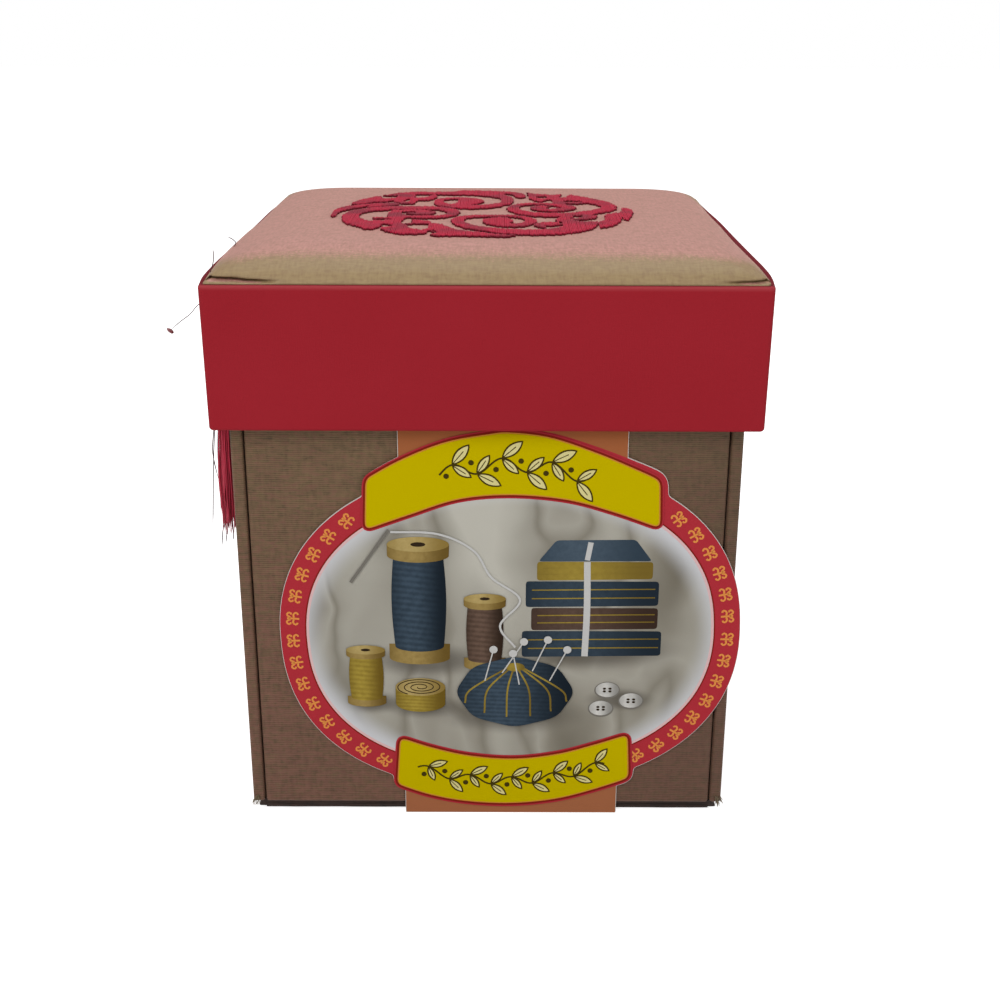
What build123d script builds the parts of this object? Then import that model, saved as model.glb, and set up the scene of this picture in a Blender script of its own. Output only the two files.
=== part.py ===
from build123d import *
from math import cos, radians, sin
import os

# A square cloth-covered sewing box: four outer walls and four inner walls fold
# outward from cloth hinges, a small padded box stands in the middle, and a
# cushioned lid with a tassel holds the outer walls upright.
# Origin on the floor under the middle of the body, X right, Y back, Z up.

# Materials: thickness of every sheet that the box is made of
cloth_t = 0.35
board_t = 2.0
thin_board_t = 1.3
base_board_t = 1.2
lining_t = 1.2
hinge_t = 0.3
hinge_glue = 1.0
hinge_edge = 0.8
card_t = 0.5

# Body
body_w = 112.6
wall_h = 120.2
wall_edge_r = 0.7
lining_inset = 6.0
turn_in = 10.0
corner_gap = 0.4
fold_gap = 0.5
lining_gap = 0.5

# Inner set of walls
inner_w = 76.0
inner_h = 95.0
inner_edge_r = 0.5
inner_turn_in = 8.0
inner_base_t = 2.0
inner_pivot_in = 1.2

# Small box in the middle with its padded lid
small_w = 46.0
small_h = 52.0
small_wall_t = 2.0
small_floor_t = 1.2
small_lid_fit = 0.6
small_lid_overlap = 10.0
small_pad_inset = 1.0
small_pad_belly = 1.2
small_pad_roll = 3.0
small_pad_crown = 1.8
small_pad_drawn_in = 0.6
small_pad_corner_r = 2.5

# Lid
lid_fit = 1.0
rest_gap = 0.3
lid_board_t = 2.0
rim_rise = 2.6
skirt_h = 31.7
skirt_corner_r = 1.2
skirt_edge_r = 0.7

# Cushion on the lid
cushion_gap = 0.5
cushion_drawn_in = 0.9
cushion_belly = 2.4
cushion_roll = 5.0
cushion_corner_r = 3.5
crown_rise = 1.3
cushion_cloth_t = 0.4
medallion_d = 76.5
medallion_t = 0.5
medallion_x = -1.5

# Tassel on the left side of the lid, nearer to the front than the back
tassel_y = -19.0
tassel_reach = 4.6
tassel_knot_d = 1.6
tassel_cord_d = 1.2
tassel_cord_drop = 13.0
tassel_below_rim = 11.0
tassel_head_d = 6.4
tassel_head_h = 8.0
tassel_length = 41.0
tassel_spread_d = 9.4

# Printed card sleeve with the shaped label on its front flap
band_w = 50.6
band_x = 5.7
sleeve_tuck = 24.0
sleeve_gap = 0.1
label_w = 105.6
label_h = 82.2
label_x = 5.3
label_z = 47.8
label_turn = 2.6
label_fullness = 2.28
label_points = 48
upper_banner_w = 69.4
upper_banner_ends = (72.0, 86.4)
upper_banner_middle = 97.9
lower_banner_w = 57.6
lower_banner_ends = (9.0, 22.6)
lower_banner_middle = 1.9

# Elastic bands across the outer walls, and what some of them hold
elastic_w = 6.0
elastic_t = 0.8
elastic_rise = 2.6
elastic_height = 66.0
held_card_w = 46.0
held_card_h = 62.0
thread_card_t = 0.8
winding_w = 34.0
winding_h = 5.0
winding_t = 1.7
winding_count = 5
needle_packet_t = 1.4
needle_packet_w = 40.0
needle_packet_h = 54.0

# Card of buttons on the inner back wall
button_card_w = 34.0
button_card_h = 52.0
button_card_t = 0.6
button_d = 12.0
button_t = 2.2
button_pitch = 15.0
button_hole_d = 1.6
button_count = 3

# Levels and places worked out from the sizes above
wall_t = board_t + 2 * cloth_t
base_z = card_t
base_top = base_z + base_board_t + 2 * cloth_t
wall_z = base_top + hinge_t
pivot_z = base_top + hinge_t / 3
pivot_in = pivot_z - card_t - fold_gap
base_half = body_w / 2 - pivot_in - hinge_t
wall_top = wall_z + wall_h
side_width = body_w
front_width = body_w - 2 * wall_t - 2 * corner_gap
wall_inside = body_w / 2 - wall_t
base_lining_half = wall_inside - lining_gap
inner_base_z = base_top + lining_t
inner_base_top = inner_base_z + inner_base_t
inner_t = thin_board_t + 2 * cloth_t
inner_wall_z = inner_base_top + hinge_t
inner_pivot_z = inner_base_top + hinge_t / 3
inner_base_half = inner_w / 2 - inner_pivot_in - hinge_t
inner_front_width = inner_w - 2 * inner_t - 2 * corner_gap
lining_face = wall_inside - lining_t
lid_w = body_w + 2 * (lid_fit + wall_t)
lid_inside = lid_w / 2 - wall_t
ceiling_z = wall_top + rest_gap
lid_board_z = ceiling_z + lining_t
cushion_z = lid_board_z + lid_board_t
rim_z = cushion_z + rim_rise
skirt_z = rim_z - skirt_h
cushion_half = lid_inside - cushion_gap
crown_z = cushion_z + cushion_belly + cushion_roll + crown_rise
flap_y = body_w / 2 + sleeve_gap
flap_fold_y = flap_y + card_t / 2
flap_fold_z = card_t / 2
flap_top = skirt_z + sleeve_tuck

os.makedirs("parts", exist_ok=True)
SIDES = ("front", "right", "back", "left")
ROLL_ANGLES = (0, 22.5, 45, 67.5, 90)


def save(name, shape):
    """Write one sub-part to its own file."""
    export_step(shape, f"parts/{name}.step")


def block(x, y, z):
    """Box from three (low, high) pairs."""
    size = (x[1] - x[0], y[1] - y[0], z[1] - z[0])
    middle = ((x[0] + x[1]) / 2, (y[0] + y[1]) / 2, (z[0] + z[1]) / 2)
    return Pos(*middle) * Box(*size)


def on_side(side, shape):
    """Turn a shape made at the front of the box to the named side."""
    turn = 360 * SIDES.index(side) / len(SIDES)
    return Rot(0, 0, turn) * shape


def square_ring(outer, inner, low, high):
    """Upright square tube between two half-widths."""
    hole = block((-inner, inner), (-inner, inner), (low - 1, high + 1))
    return block((-outer, outer), (-outer, outer), (low, high)) - hole


# Walls: each is a card board in a wrapped cloth cover, made at the front
def wall_board(width, face, low, thick, height):
    """Card core of a wall, one cloth thickness inside its cover on every side."""
    x = (-width / 2 + cloth_t, width / 2 - cloth_t)
    y = (-face + cloth_t, -face + thick - cloth_t)
    z = (low + cloth_t, low + height - cloth_t)
    return block(x, y, z)


def wall_cover(width, face, low, thick, height, edge_r, turned):
    """Cloth wrapped round a board, its edges turned in on the inside."""
    outside = block((-width / 2, width / 2), (-face, -face + thick), (low, low + height))
    outside = fillet(outside.edges(), edge_r)
    core = wall_board(width, face, low, thick, height)
    window = block(
        (-width / 2 + turned, width / 2 - turned),
        (-face + thick - cloth_t, -face + thick + 1),
        (low + turned, low + height - turned),
    )
    return outside - core - window


def wall_lining(width):
    """Contrasting panel glued inside an outer wall, over the turned-in cloth."""
    x = (-width / 2 + lining_inset, width / 2 - lining_inset)
    z = (wall_z + lining_inset, wall_top - lining_inset)
    return block(x, (-wall_inside, -lining_face), z)


def elastic_band(width):
    """Band across a lining, standing off it in the middle to hold something."""
    end = width / 2 - lining_inset - 1.0
    foot = end - 6.0
    lift = foot - 2 * elastic_rise
    y0 = -lining_face
    y1 = -lining_face + elastic_rise
    under = [(-end, y0), (-foot, y0), (-lift, y1), (lift, y1), (foot, y0), (end, y0)]
    over = [(x, y + elastic_t) for x, y in reversed(under)]
    outline = make_face(Polyline(*under, *over, close=True))
    band = extrude(Plane.XY * outline, amount=elastic_w)
    return Pos(0, 0, wall_z + elastic_height) * band


def cloth_hinge(side, half, outer_face, low_edge, top, wall_bottom):
    """Cloth strip glued under a wall and down the edge of the panel it folds from."""
    edge = half + hinge_t
    width = 2 * half
    if side in ("front", "back"):
        width = 2 * (edge - hinge_glue - corner_gap)
    under_wall = block(
        (-width / 2, width / 2), (-outer_face + hinge_edge, -edge + hinge_glue), (top, wall_bottom)
    )
    down_edge = block((-width / 2, width / 2), (-edge, -half), (low_edge, top))
    return under_wall + down_edge


outer_widths = {"front": front_width, "right": side_width, "back": front_width, "left": side_width}
for side, width in outer_widths.items():
    face = body_w / 2
    board = wall_board(width, face, wall_z, wall_t, wall_h)
    cover = wall_cover(width, face, wall_z, wall_t, wall_h, wall_edge_r, turn_in)
    save(f"{side}_wall_board", on_side(side, board))
    save(f"{side}_wall_cover", on_side(side, cover))
    save(f"{side}_wall_lining", on_side(side, wall_lining(width)))
    save(f"{side}_wall_elastic", on_side(side, elastic_band(width)))
    strip = cloth_hinge(side, base_half, face, base_z + cloth_t, base_top, wall_z)
    save(f"{side}_wall_hinge", on_side(side, strip))

inner_widths = {"front": inner_front_width, "right": inner_w, "back": inner_front_width, "left": inner_w}
for side, width in inner_widths.items():
    face = inner_w / 2
    board = wall_board(width, face, inner_wall_z, inner_t, inner_h)
    cover = wall_cover(width, face, inner_wall_z, inner_t, inner_h, inner_edge_r, inner_turn_in)
    save(f"inner_{side}_board", on_side(side, board))
    save(f"inner_{side}_cover", on_side(side, cover))
    strip = cloth_hinge(side, inner_base_half, face, inner_base_z, inner_base_top, inner_wall_z)
    save(f"inner_{side}_hinge", on_side(side, strip))

# Base: board, cloth cover, lining, and the raised panel of the inner walls
core_half = base_half - cloth_t
base_core = block((-core_half, core_half), (-core_half, core_half), (base_z + cloth_t, base_top - cloth_t))
base_shell = block((-base_half, base_half), (-base_half, base_half), (base_z, base_top)) - base_core
save("base_board", base_core)
save("base_cover", base_shell)
save(
    "base_lining",
    block(
        (-base_lining_half, base_lining_half),
        (-base_lining_half, base_lining_half),
        (base_top, inner_base_z),
    ),
)
save(
    "inner_base",
    block(
        (-inner_base_half, inner_base_half),
        (-inner_base_half, inner_base_half),
        (inner_base_z, inner_base_top),
    ),
)

# Small box: cloth-covered tube with a floor, and a padded lid that lifts off
small_half = small_w / 2
small_top = inner_base_top + small_h
small_inside = small_half - small_wall_t
tube = square_ring(small_half, small_inside, inner_base_top, small_top)
tube = fillet(tube.edges().filter_by(Axis.Z), inner_edge_r)
small_floor = block(
    (-small_inside, small_inside),
    (-small_inside, small_inside),
    (inner_base_top, inner_base_top + small_floor_t),
)
save("small_box", tube + small_floor)

cap_inside = small_half + small_lid_fit
cap_half = cap_inside + small_wall_t
cap_ceiling = small_top + rest_gap
cap_top = cap_ceiling + small_wall_t
cap_low = small_top - small_lid_overlap
cap = block((-cap_half, cap_half), (-cap_half, cap_half), (cap_low, cap_top))
cap = fillet(cap.edges().filter_by(Axis.Z), inner_edge_r)
cap = cap - block((-cap_inside, cap_inside), (-cap_inside, cap_inside), (cap_low - 1, cap_ceiling))
save("small_lid_tray", cap)


def rounded_square(half, corner_r, z):
    """Square outline with round corners, lying flat at a height."""
    return Plane.XY.offset(z) * RectangleRounded(2 * half, 2 * half, corner_r)


def cushion_solid(half, low, belly, roll, crown, drawn_in, corner_r):
    """Pad with drawn-in sides, a quarter-round edge, rounder upper corners and a crowned top."""
    sections = [rounded_square(half - drawn_in, corner_r, low)]
    for angle in ROLL_ANGLES:
        inward = roll * (1 - cos(radians(angle)))
        z = low + belly + roll * sin(radians(angle))
        sections.append(rounded_square(half - inward, corner_r + inward, z))
    flat_half = half - roll
    high = low + belly + roll + crown
    sections.append(rounded_square(flat_half, corner_r + roll, high + crown))
    ball_r = (flat_half**2 + crown**2) / (2 * crown)
    dome = Pos(0, 0, high - ball_r) * Sphere(ball_r)
    return loft(sections, ruled=True) & dome


small_pad = cushion_solid(
    cap_half - small_pad_inset, cap_top, small_pad_belly, small_pad_roll, small_pad_crown,
    small_pad_drawn_in, small_pad_corner_r,
)
save("pincushion", small_pad)

# Lid: top board, four skirt boards, red cloth cover, lining under the top
save(
    "lid_top_board",
    block((-lid_inside, lid_inside), (-lid_inside, lid_inside), (lid_board_z, cushion_z)),
)
ceiling_half = lid_inside - lining_gap
save(
    "lid_lining",
    block((-ceiling_half, ceiling_half), (-ceiling_half, ceiling_half), (ceiling_z, lid_board_z)),
)

skirt_core_out = lid_w / 2 - cloth_t
skirt_core_in = lid_inside + cloth_t
skirt_core_low = skirt_z + cloth_t
skirt_core_high = rim_z - cloth_t
long_board = block(
    (-skirt_core_out, skirt_core_out),
    (-skirt_core_out, -skirt_core_in),
    (skirt_core_low, skirt_core_high),
)
short_board = block(
    (-skirt_core_out, -skirt_core_in),
    (-skirt_core_in, skirt_core_in),
    (skirt_core_low, skirt_core_high),
)
skirt_boards = [long_board, Rot(0, 0, 180) * long_board, short_board, Rot(0, 0, 180) * short_board]
save("lid_skirt_boards", Compound(children=skirt_boards))

skirt_outside = block((-lid_w / 2, lid_w / 2), (-lid_w / 2, lid_w / 2), (skirt_z, rim_z))
skirt_outside = fillet(skirt_outside.edges().filter_by(Axis.Z), skirt_corner_r)
skirt_outside = fillet(skirt_outside.faces().sort_by(Axis.Z)[0].edges(), skirt_edge_r)
skirt_outside = fillet(skirt_outside.faces().sort_by(Axis.Z)[-1].edges(), skirt_edge_r)
skirt_hole = block((-lid_inside, lid_inside), (-lid_inside, lid_inside), (skirt_z - 1, rim_z + 1))
skirt_core = square_ring(skirt_core_out, skirt_core_in, skirt_core_low, skirt_core_high)
skirt_window = square_ring(skirt_core_in, lid_inside - 1, ceiling_z, cushion_z)
save("lid_cover", skirt_outside - skirt_hole - skirt_core - skirt_window)

# Cushion: foam pad under an iridescent silk cover with a round embroidery
cushion_out = cushion_solid(
    cushion_half, cushion_z, cushion_belly, cushion_roll, crown_rise, cushion_drawn_in,
    cushion_corner_r,
)
pad = cushion_solid(
    cushion_half - cushion_cloth_t, cushion_z, cushion_belly, cushion_roll - cushion_cloth_t,
    crown_rise, cushion_drawn_in, cushion_corner_r,
)
save("lid_pad", pad)
save("cushion_cover", cushion_out - pad)

crown_half = cushion_half - cushion_roll
crown_r = (crown_half**2 + crown_rise**2) / (2 * crown_rise)
crown_middle = Pos(0, 0, crown_z - crown_r)
disc = Pos(medallion_x, 0, crown_z) * Cylinder(medallion_d / 2, 4 * crown_rise)
save("embroidery", (disc & crown_middle * Sphere(crown_r + medallion_t)) - crown_middle * Sphere(crown_r))

# Tassel: cord from its knot against the skirt, round head, bound skirt of threads
anchor_x = -lid_w / 2 - tassel_knot_d / 2
anchor_z = rim_z - tassel_below_rim
tassel_x = -lid_w / 2 - tassel_reach
cord_low = anchor_z - tassel_cord_drop
cord_path = FilletPolyline(
    (anchor_x, tassel_y, anchor_z),
    (tassel_x, tassel_y, anchor_z),
    (tassel_x, tassel_y, cord_low),
    radius=2.0,
)
cord_section = Plane(origin=cord_path @ 0, z_dir=cord_path % 0) * Circle(tassel_cord_d / 2)
knot = Pos(anchor_x, tassel_y, anchor_z) * Sphere(tassel_knot_d / 2)
save("tassel_cord", sweep(cord_section, path=cord_path) + knot)

head_low = cord_low - tassel_head_h
neck_r = tassel_head_d / 2 - 0.7
head_profile = [
    (tassel_cord_d / 2 + 0.3, cord_low),
    (tassel_head_d / 2 - 0.5, cord_low - 1.2),
    (tassel_head_d / 2, cord_low - tassel_head_h / 2),
    (neck_r, head_low + 0.9),
    (neck_r, head_low),
]
threads_low = head_low - tassel_length
threads_profile = [
    (neck_r, head_low),
    (tassel_head_d / 2 + 0.3, head_low - 0.12 * tassel_length),
    (tassel_spread_d / 2, threads_low),
]


def turned_solid(profile):
    """Solid of revolution about the tassel's own upright axis."""
    points = [(0, profile[0][1]), *profile, (0, profile[-1][1])]
    outline = make_face(Polyline(*points, close=True))
    return Pos(tassel_x, tassel_y, 0) * revolve(Plane.XZ * outline, Axis.Z)


save("tassel_head", turned_solid(head_profile))
save("tassel_threads", turned_solid(threads_profile))

# Card sleeve: strip under the base, back flap, and front flap with the label
band_low = band_x - band_w / 2
band_high = band_x + band_w / 2
save("sleeve_base_strip", block((band_low, band_high), (-flap_y, flap_y), (0, card_t)))
save("sleeve_back_flap", block((band_low, band_high), (flap_y, flap_y + card_t), (flap_fold_z, flap_top)))


def banner(width, ends, middle):
    """Curved ribbon outline: straight ends, upper and lower edges bowed one way."""
    left = band_x - width / 2
    right = band_x + width / 2
    low, high = ends
    bow = middle - high if middle > high else middle - low
    lower = ThreePointArc((left, low), (band_x, low + bow), (right, low))
    upper = ThreePointArc((right, high), (band_x, high + bow), (left, high))
    return make_face([lower, Line((right, low), (right, high)), upper, Line((left, high), (left, low))])


def full_oval(width, height, fullness):
    """Oval that is fuller at its four shoulders than an ellipse."""
    points = []
    for index in range(label_points):
        angle = radians(360 * index / label_points)
        reach = abs(cos(angle)) ** fullness + abs(sin(angle)) ** fullness
        stretch = reach ** (-1 / fullness)
        points.append((width / 2 * stretch * cos(angle), height / 2 * stretch * sin(angle)))
    return make_face(Spline(*points, periodic=True))


band = Pos(band_x, (flap_fold_z + flap_top) / 2) * Rectangle(band_w, flap_top - flap_fold_z)
oval = Pos(label_x, label_z) * Rot(0, 0, label_turn) * full_oval(label_w, label_h, label_fullness)
upper = banner(upper_banner_w, upper_banner_ends, upper_banner_middle)
lower = banner(lower_banner_w, lower_banner_ends, lower_banner_middle)
label_outline = band + oval + upper + lower
front_flap = extrude(Plane.XZ * label_outline, amount=card_t)
save("sleeve_front_flap", Pos(0, -flap_y, 0) * front_flap)

# Held things: thread card with windings, needle packet, card of buttons
held_z = wall_z + elastic_height + elastic_w / 2
card_block = block(
    (-held_card_w / 2, held_card_w / 2),
    (-lining_face, -lining_face + thread_card_t),
    (held_z - held_card_h / 2, held_z + held_card_h / 2),
)
windings = []
for index in range(winding_count):
    step = held_card_h / winding_count
    z = held_z - held_card_h / 2 + step * (index + 0.5)
    windings.append(
        block(
            (-winding_w / 2, winding_w / 2),
            (-lining_face + thread_card_t, -lining_face + thread_card_t + winding_t),
            (z - winding_h / 2, z + winding_h / 2),
        )
    )
save("thread_card", on_side("right", card_block))
save("thread_windings", on_side("right", Compound(children=windings)))
packet = block(
    (-needle_packet_w / 2, needle_packet_w / 2),
    (-lining_face, -lining_face + needle_packet_t),
    (held_z - needle_packet_h / 2, held_z + needle_packet_h / 2),
)
save("needle_packet", on_side("left", packet))

inner_face = inner_w / 2 - inner_t
button_z = inner_wall_z + inner_h / 2
button_card = block(
    (-button_card_w / 2, button_card_w / 2),
    (-inner_face, -inner_face + button_card_t),
    (button_z - button_card_h / 2, button_z + button_card_h / 2),
)
buttons = []
for index in range(button_count):
    z = button_z + button_pitch * (index - (button_count - 1) / 2)
    button = Cylinder(button_d / 2, button_t) - Cylinder(button_hole_d / 2, 2 * button_t)
    button_y = -inner_face + button_card_t + button_t / 2
    buttons.append(Pos(0, button_y, z) * Rot(90, 0, 0) * button)
save("button_card", on_side("back", button_card))
save("buttons", on_side("back", Compound(children=buttons)))
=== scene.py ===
# A square silk-covered sewing box with a red lid, a silk cushion with a round
# embroidery on it, a crimson tassel and a printed card sleeve.
from math import cos, pi, radians, sin

import bpy
import numpy as np
from mathutils import Matrix, Vector


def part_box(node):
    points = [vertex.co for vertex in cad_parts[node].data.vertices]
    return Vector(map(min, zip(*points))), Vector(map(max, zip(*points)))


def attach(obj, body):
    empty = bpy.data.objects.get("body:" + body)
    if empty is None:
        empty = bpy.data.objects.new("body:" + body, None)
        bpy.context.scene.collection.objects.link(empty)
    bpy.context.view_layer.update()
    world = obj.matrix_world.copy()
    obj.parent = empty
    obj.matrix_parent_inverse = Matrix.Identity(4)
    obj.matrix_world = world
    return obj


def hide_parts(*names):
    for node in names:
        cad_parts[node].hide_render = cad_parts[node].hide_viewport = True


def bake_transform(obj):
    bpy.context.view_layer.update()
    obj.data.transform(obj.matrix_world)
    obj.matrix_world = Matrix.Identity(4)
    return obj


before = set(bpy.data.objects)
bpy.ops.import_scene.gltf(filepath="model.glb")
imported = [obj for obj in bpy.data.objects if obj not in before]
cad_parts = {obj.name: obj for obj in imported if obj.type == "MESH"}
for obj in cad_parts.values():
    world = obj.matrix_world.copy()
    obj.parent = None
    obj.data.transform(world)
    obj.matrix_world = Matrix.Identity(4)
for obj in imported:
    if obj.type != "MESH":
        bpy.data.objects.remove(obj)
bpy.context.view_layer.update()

# The camera
# It stands about 350 mm in front of the box and 189 mm up, and looks down 20
# degrees, with a lens a little longer than normal and almost no roll.
MM = 0.001
camera_place = np.array([2.896, -350.564, 188.67])
looking_down = radians(20.215)
camera_roll = radians(0.162)


def in_scene(name, data):
    """Object made of some data and linked to the scene."""
    made = bpy.data.objects.new(name, data)
    bpy.context.scene.collection.objects.link(made)
    return made


camera_data = bpy.data.cameras.new("photo_camera")
camera_data.sensor_width = 36.0
camera_data.lens = 50.812
camera_data.clip_start = 0.01
camera = in_scene("photo_camera", camera_data)
bpy.context.scene.camera = camera
ahead = Vector((0, cos(looking_down), -sin(looking_down)))
level_up = Vector((0, sin(looking_down), cos(looking_down)))
level_right = Vector((1, 0, 0))
rolled_right = level_right * cos(camera_roll) + level_up * sin(camera_roll)
rolled_up = level_up * cos(camera_roll) - level_right * sin(camera_roll)
turned = Matrix((rolled_right, rolled_up, -ahead)).transposed().to_4x4()
camera.matrix_world = Matrix.Translation(Vector(camera_place * MM)) @ turned

# Floor, room and light
# A white table top, a large soft lamp above and in front, and an even white room.
# The floor turns white for the camera and keeps the soft shadow of the box.
floor_white = 0.85
floor_glow = 0.80
room_glow = 0.33


def srgb(hex_colour):
    """Linear red, green, blue and alpha of an sRGB colour written as six hex digits."""
    channels = np.array([int(hex_colour[i:i + 2], 16) for i in (0, 2, 4)]) / 255
    low = channels / 12.92
    high = ((channels + 0.055) / 1.055) ** 2.4
    return (*np.where(channels <= 0.04045, low, high).tolist(), 1.0)


def add(material, kind, inputs=None, **settings):
    """One node with its settings; inputs maps a socket to a value, to the six hex digits of a colour
    or to another node's socket."""
    node = material.node_tree.nodes.new(kind)
    for name, value in settings.items():
        setattr(node, name, value)
    for socket, value in (inputs or {}).items():
        if isinstance(value, bpy.types.NodeSocket):
            material.node_tree.links.new(value, node.inputs[socket])
        else:
            node.inputs[socket].default_value = srgb(value) if isinstance(value, str) else value
    return node


def empty_material(name):
    """Material with no nodes but its output."""
    material = bpy.data.materials.new(name)
    material.use_nodes = True
    material.node_tree.nodes.clear()
    return material


def close_material(material, shader):
    """Link a shader to a new output node."""
    add(material, "ShaderNodeOutputMaterial", {"Surface": shader.outputs[0]})
    return material


floor_finish = empty_material("white_table_top")
paths = add(floor_finish, "ShaderNodeLightPath")
seen = add(floor_finish, "ShaderNodeMath", {0: paths.outputs["Is Camera Ray"],
                                           1: paths.outputs["Is Glossy Ray"]}, operation="MAXIMUM")
matt = add(floor_finish, "ShaderNodeBsdfDiffuse", {"Color": (floor_white, floor_white, floor_white, 1)})
glow = add(floor_finish, "ShaderNodeEmission", {"Color": (1, 1, 1, 1), "Strength": floor_glow})
lit = add(floor_finish, "ShaderNodeAddShader", {0: matt.outputs[0], 1: glow.outputs[0]})
both = add(floor_finish, "ShaderNodeMixShader", {0: seen.outputs[0], 1: matt.outputs[0],
                                                2: lit.outputs[0]})
close_material(floor_finish, both)

half_floor = 3.0
floor_mesh = bpy.data.meshes.new("table_top")
floor_mesh.from_pydata(
    [(-half_floor, -half_floor, 0), (half_floor, -half_floor, 0),
     (half_floor, half_floor, 0), (-half_floor, half_floor, 0)], [], [(0, 1, 2, 3)])
floor_mesh.materials.append(floor_finish)
floor = in_scene("table_top", floor_mesh)

world = bpy.data.worlds.new("white_room")
bpy.context.scene.world = world
world.use_nodes = True
world.node_tree.nodes.clear()
room_light = add(world, "ShaderNodeBackground", {"Color": (1, 1, 1, 1), "Strength": room_glow})
room_white = add(world, "ShaderNodeBackground", {"Color": (1, 1, 1, 1), "Strength": 1.0})
room_paths = add(world, "ShaderNodeLightPath")
room_seen = add(world, "ShaderNodeMath", {0: room_paths.outputs["Is Camera Ray"],
                                         1: room_paths.outputs["Is Transmission Ray"]},
                operation="MAXIMUM")
room_mix = add(world, "ShaderNodeMixShader", {0: room_seen.outputs[0], 1: room_light.outputs[0],
                                             2: room_white.outputs[0]})
add(world, "ShaderNodeOutputWorld", {0: room_mix.outputs[0]})


def soft_lamp(name, place, aim, size, power):
    """Square area lamp at a place in metres, turned towards a point."""
    data = bpy.data.lights.new(name, "AREA")
    data.size = size
    data.energy = power
    lamp = in_scene(name, data)
    lamp.location = place
    lamp.rotation_mode = "QUATERNION"
    lamp.rotation_quaternion = (Vector(aim) - Vector(place)).to_track_quat("-Z", "Y")


box_middle = (0, 0, 0.07)
soft_lamp("key_lamp", (-0.45, -0.75, 0.95), box_middle, 0.7, 6.8)
soft_lamp("fill_lamp", (0.7, -0.8, 0.45), box_middle, 0.8, 2.3)
soft_lamp("top_lamp", (0.05, 0.35, 1.0), box_middle, 0.6, 3.2)
bpy.context.scene.view_settings.view_transform = "Standard"


# Card boards
# Grey millboard cut to size, hidden inside the cloth of every panel; matt, with
# faint fibres.
def finish_as_cloth(material, colour, roughness, bump, sheen, sheen_tint="ffffff", gloss=0.3):
    """Close a material as matt woven stuff with a soft fuzz."""
    return close_material(material, add(material, "ShaderNodeBsdfPrincipled", {
        "Base Color": colour, "Roughness": roughness, "Normal": bump,
        "Sheen Weight": sheen, "Sheen Roughness": 0.5, "Sheen Tint": sheen_tint,
        "Specular IOR Level": gloss}))


def plain_cloth(name, first, second, fibre_mm=0.5, depth=0.00006, sheen=0.2):
    """Matt stuff: two near colours drift by a slow noise, under a fine crossed grain of a real size."""
    material = empty_material(name)
    place = add(material, "ShaderNodeTexCoord").outputs["Object"]
    blotch = add(material, "ShaderNodeTexNoise", {"Vector": place, "Scale": 90.0, "Detail": 4.0})
    grain = add(material, "ShaderNodeTexNoise", {"Vector": place, "Scale": 1 / (fibre_mm * MM),
                                                 "Detail": 2.0})
    colour = add(material, "ShaderNodeMix", {0: blotch.outputs["Fac"], 6: first, 7: second},
                 data_type="RGBA").outputs[2]
    bump = add(material, "ShaderNodeBump", {"Height": grain.outputs["Fac"], "Distance": depth,
                                            "Strength": 0.6})
    return finish_as_cloth(material, colour, 0.85, bump.outputs[0], sheen)


def wear(node, material):
    """Give a CAD node's own object one material."""
    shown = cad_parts[node]
    shown.data.materials.clear()
    shown.data.materials.append(material)


sides = ("front", "right", "back", "left")
millboard = plain_cloth("grey_millboard", "a89f8e", "b7ad9b", fibre_mm=0.4, sheen=0.0)
board_nodes = [f"{side}_wall_board" for side in sides] + [f"inner_{side}_board" for side in sides]
for node in board_nodes + ["base_board", "lid_top_board", "lid_skirt_boards"]:
    wear(node, millboard)

# Ribbed silk of the walls and base
# Taupe dupion: fine ribs run level round the box, with slubs along them. The
# warp is olive and the weft red-brown, which shows as slow two-tone drift.
rib_pitch = 0.50 * MM  # drawn a little coarser than the real 0.38 mm, so that it shows
rib_wander = 0.9 * MM
rib_share = 0.55
# Noise over the ribs: its share of the relief, its waves per metre on X, Y and Z, and its detail
rib_noise = {"knot": (2.9, (700, 700, 1700), 2.0), "slub": (1.7, (240, 240, 1100), 3.0),
             "warp": (1.7, (1100, 1100, 240), 2.0)}


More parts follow.
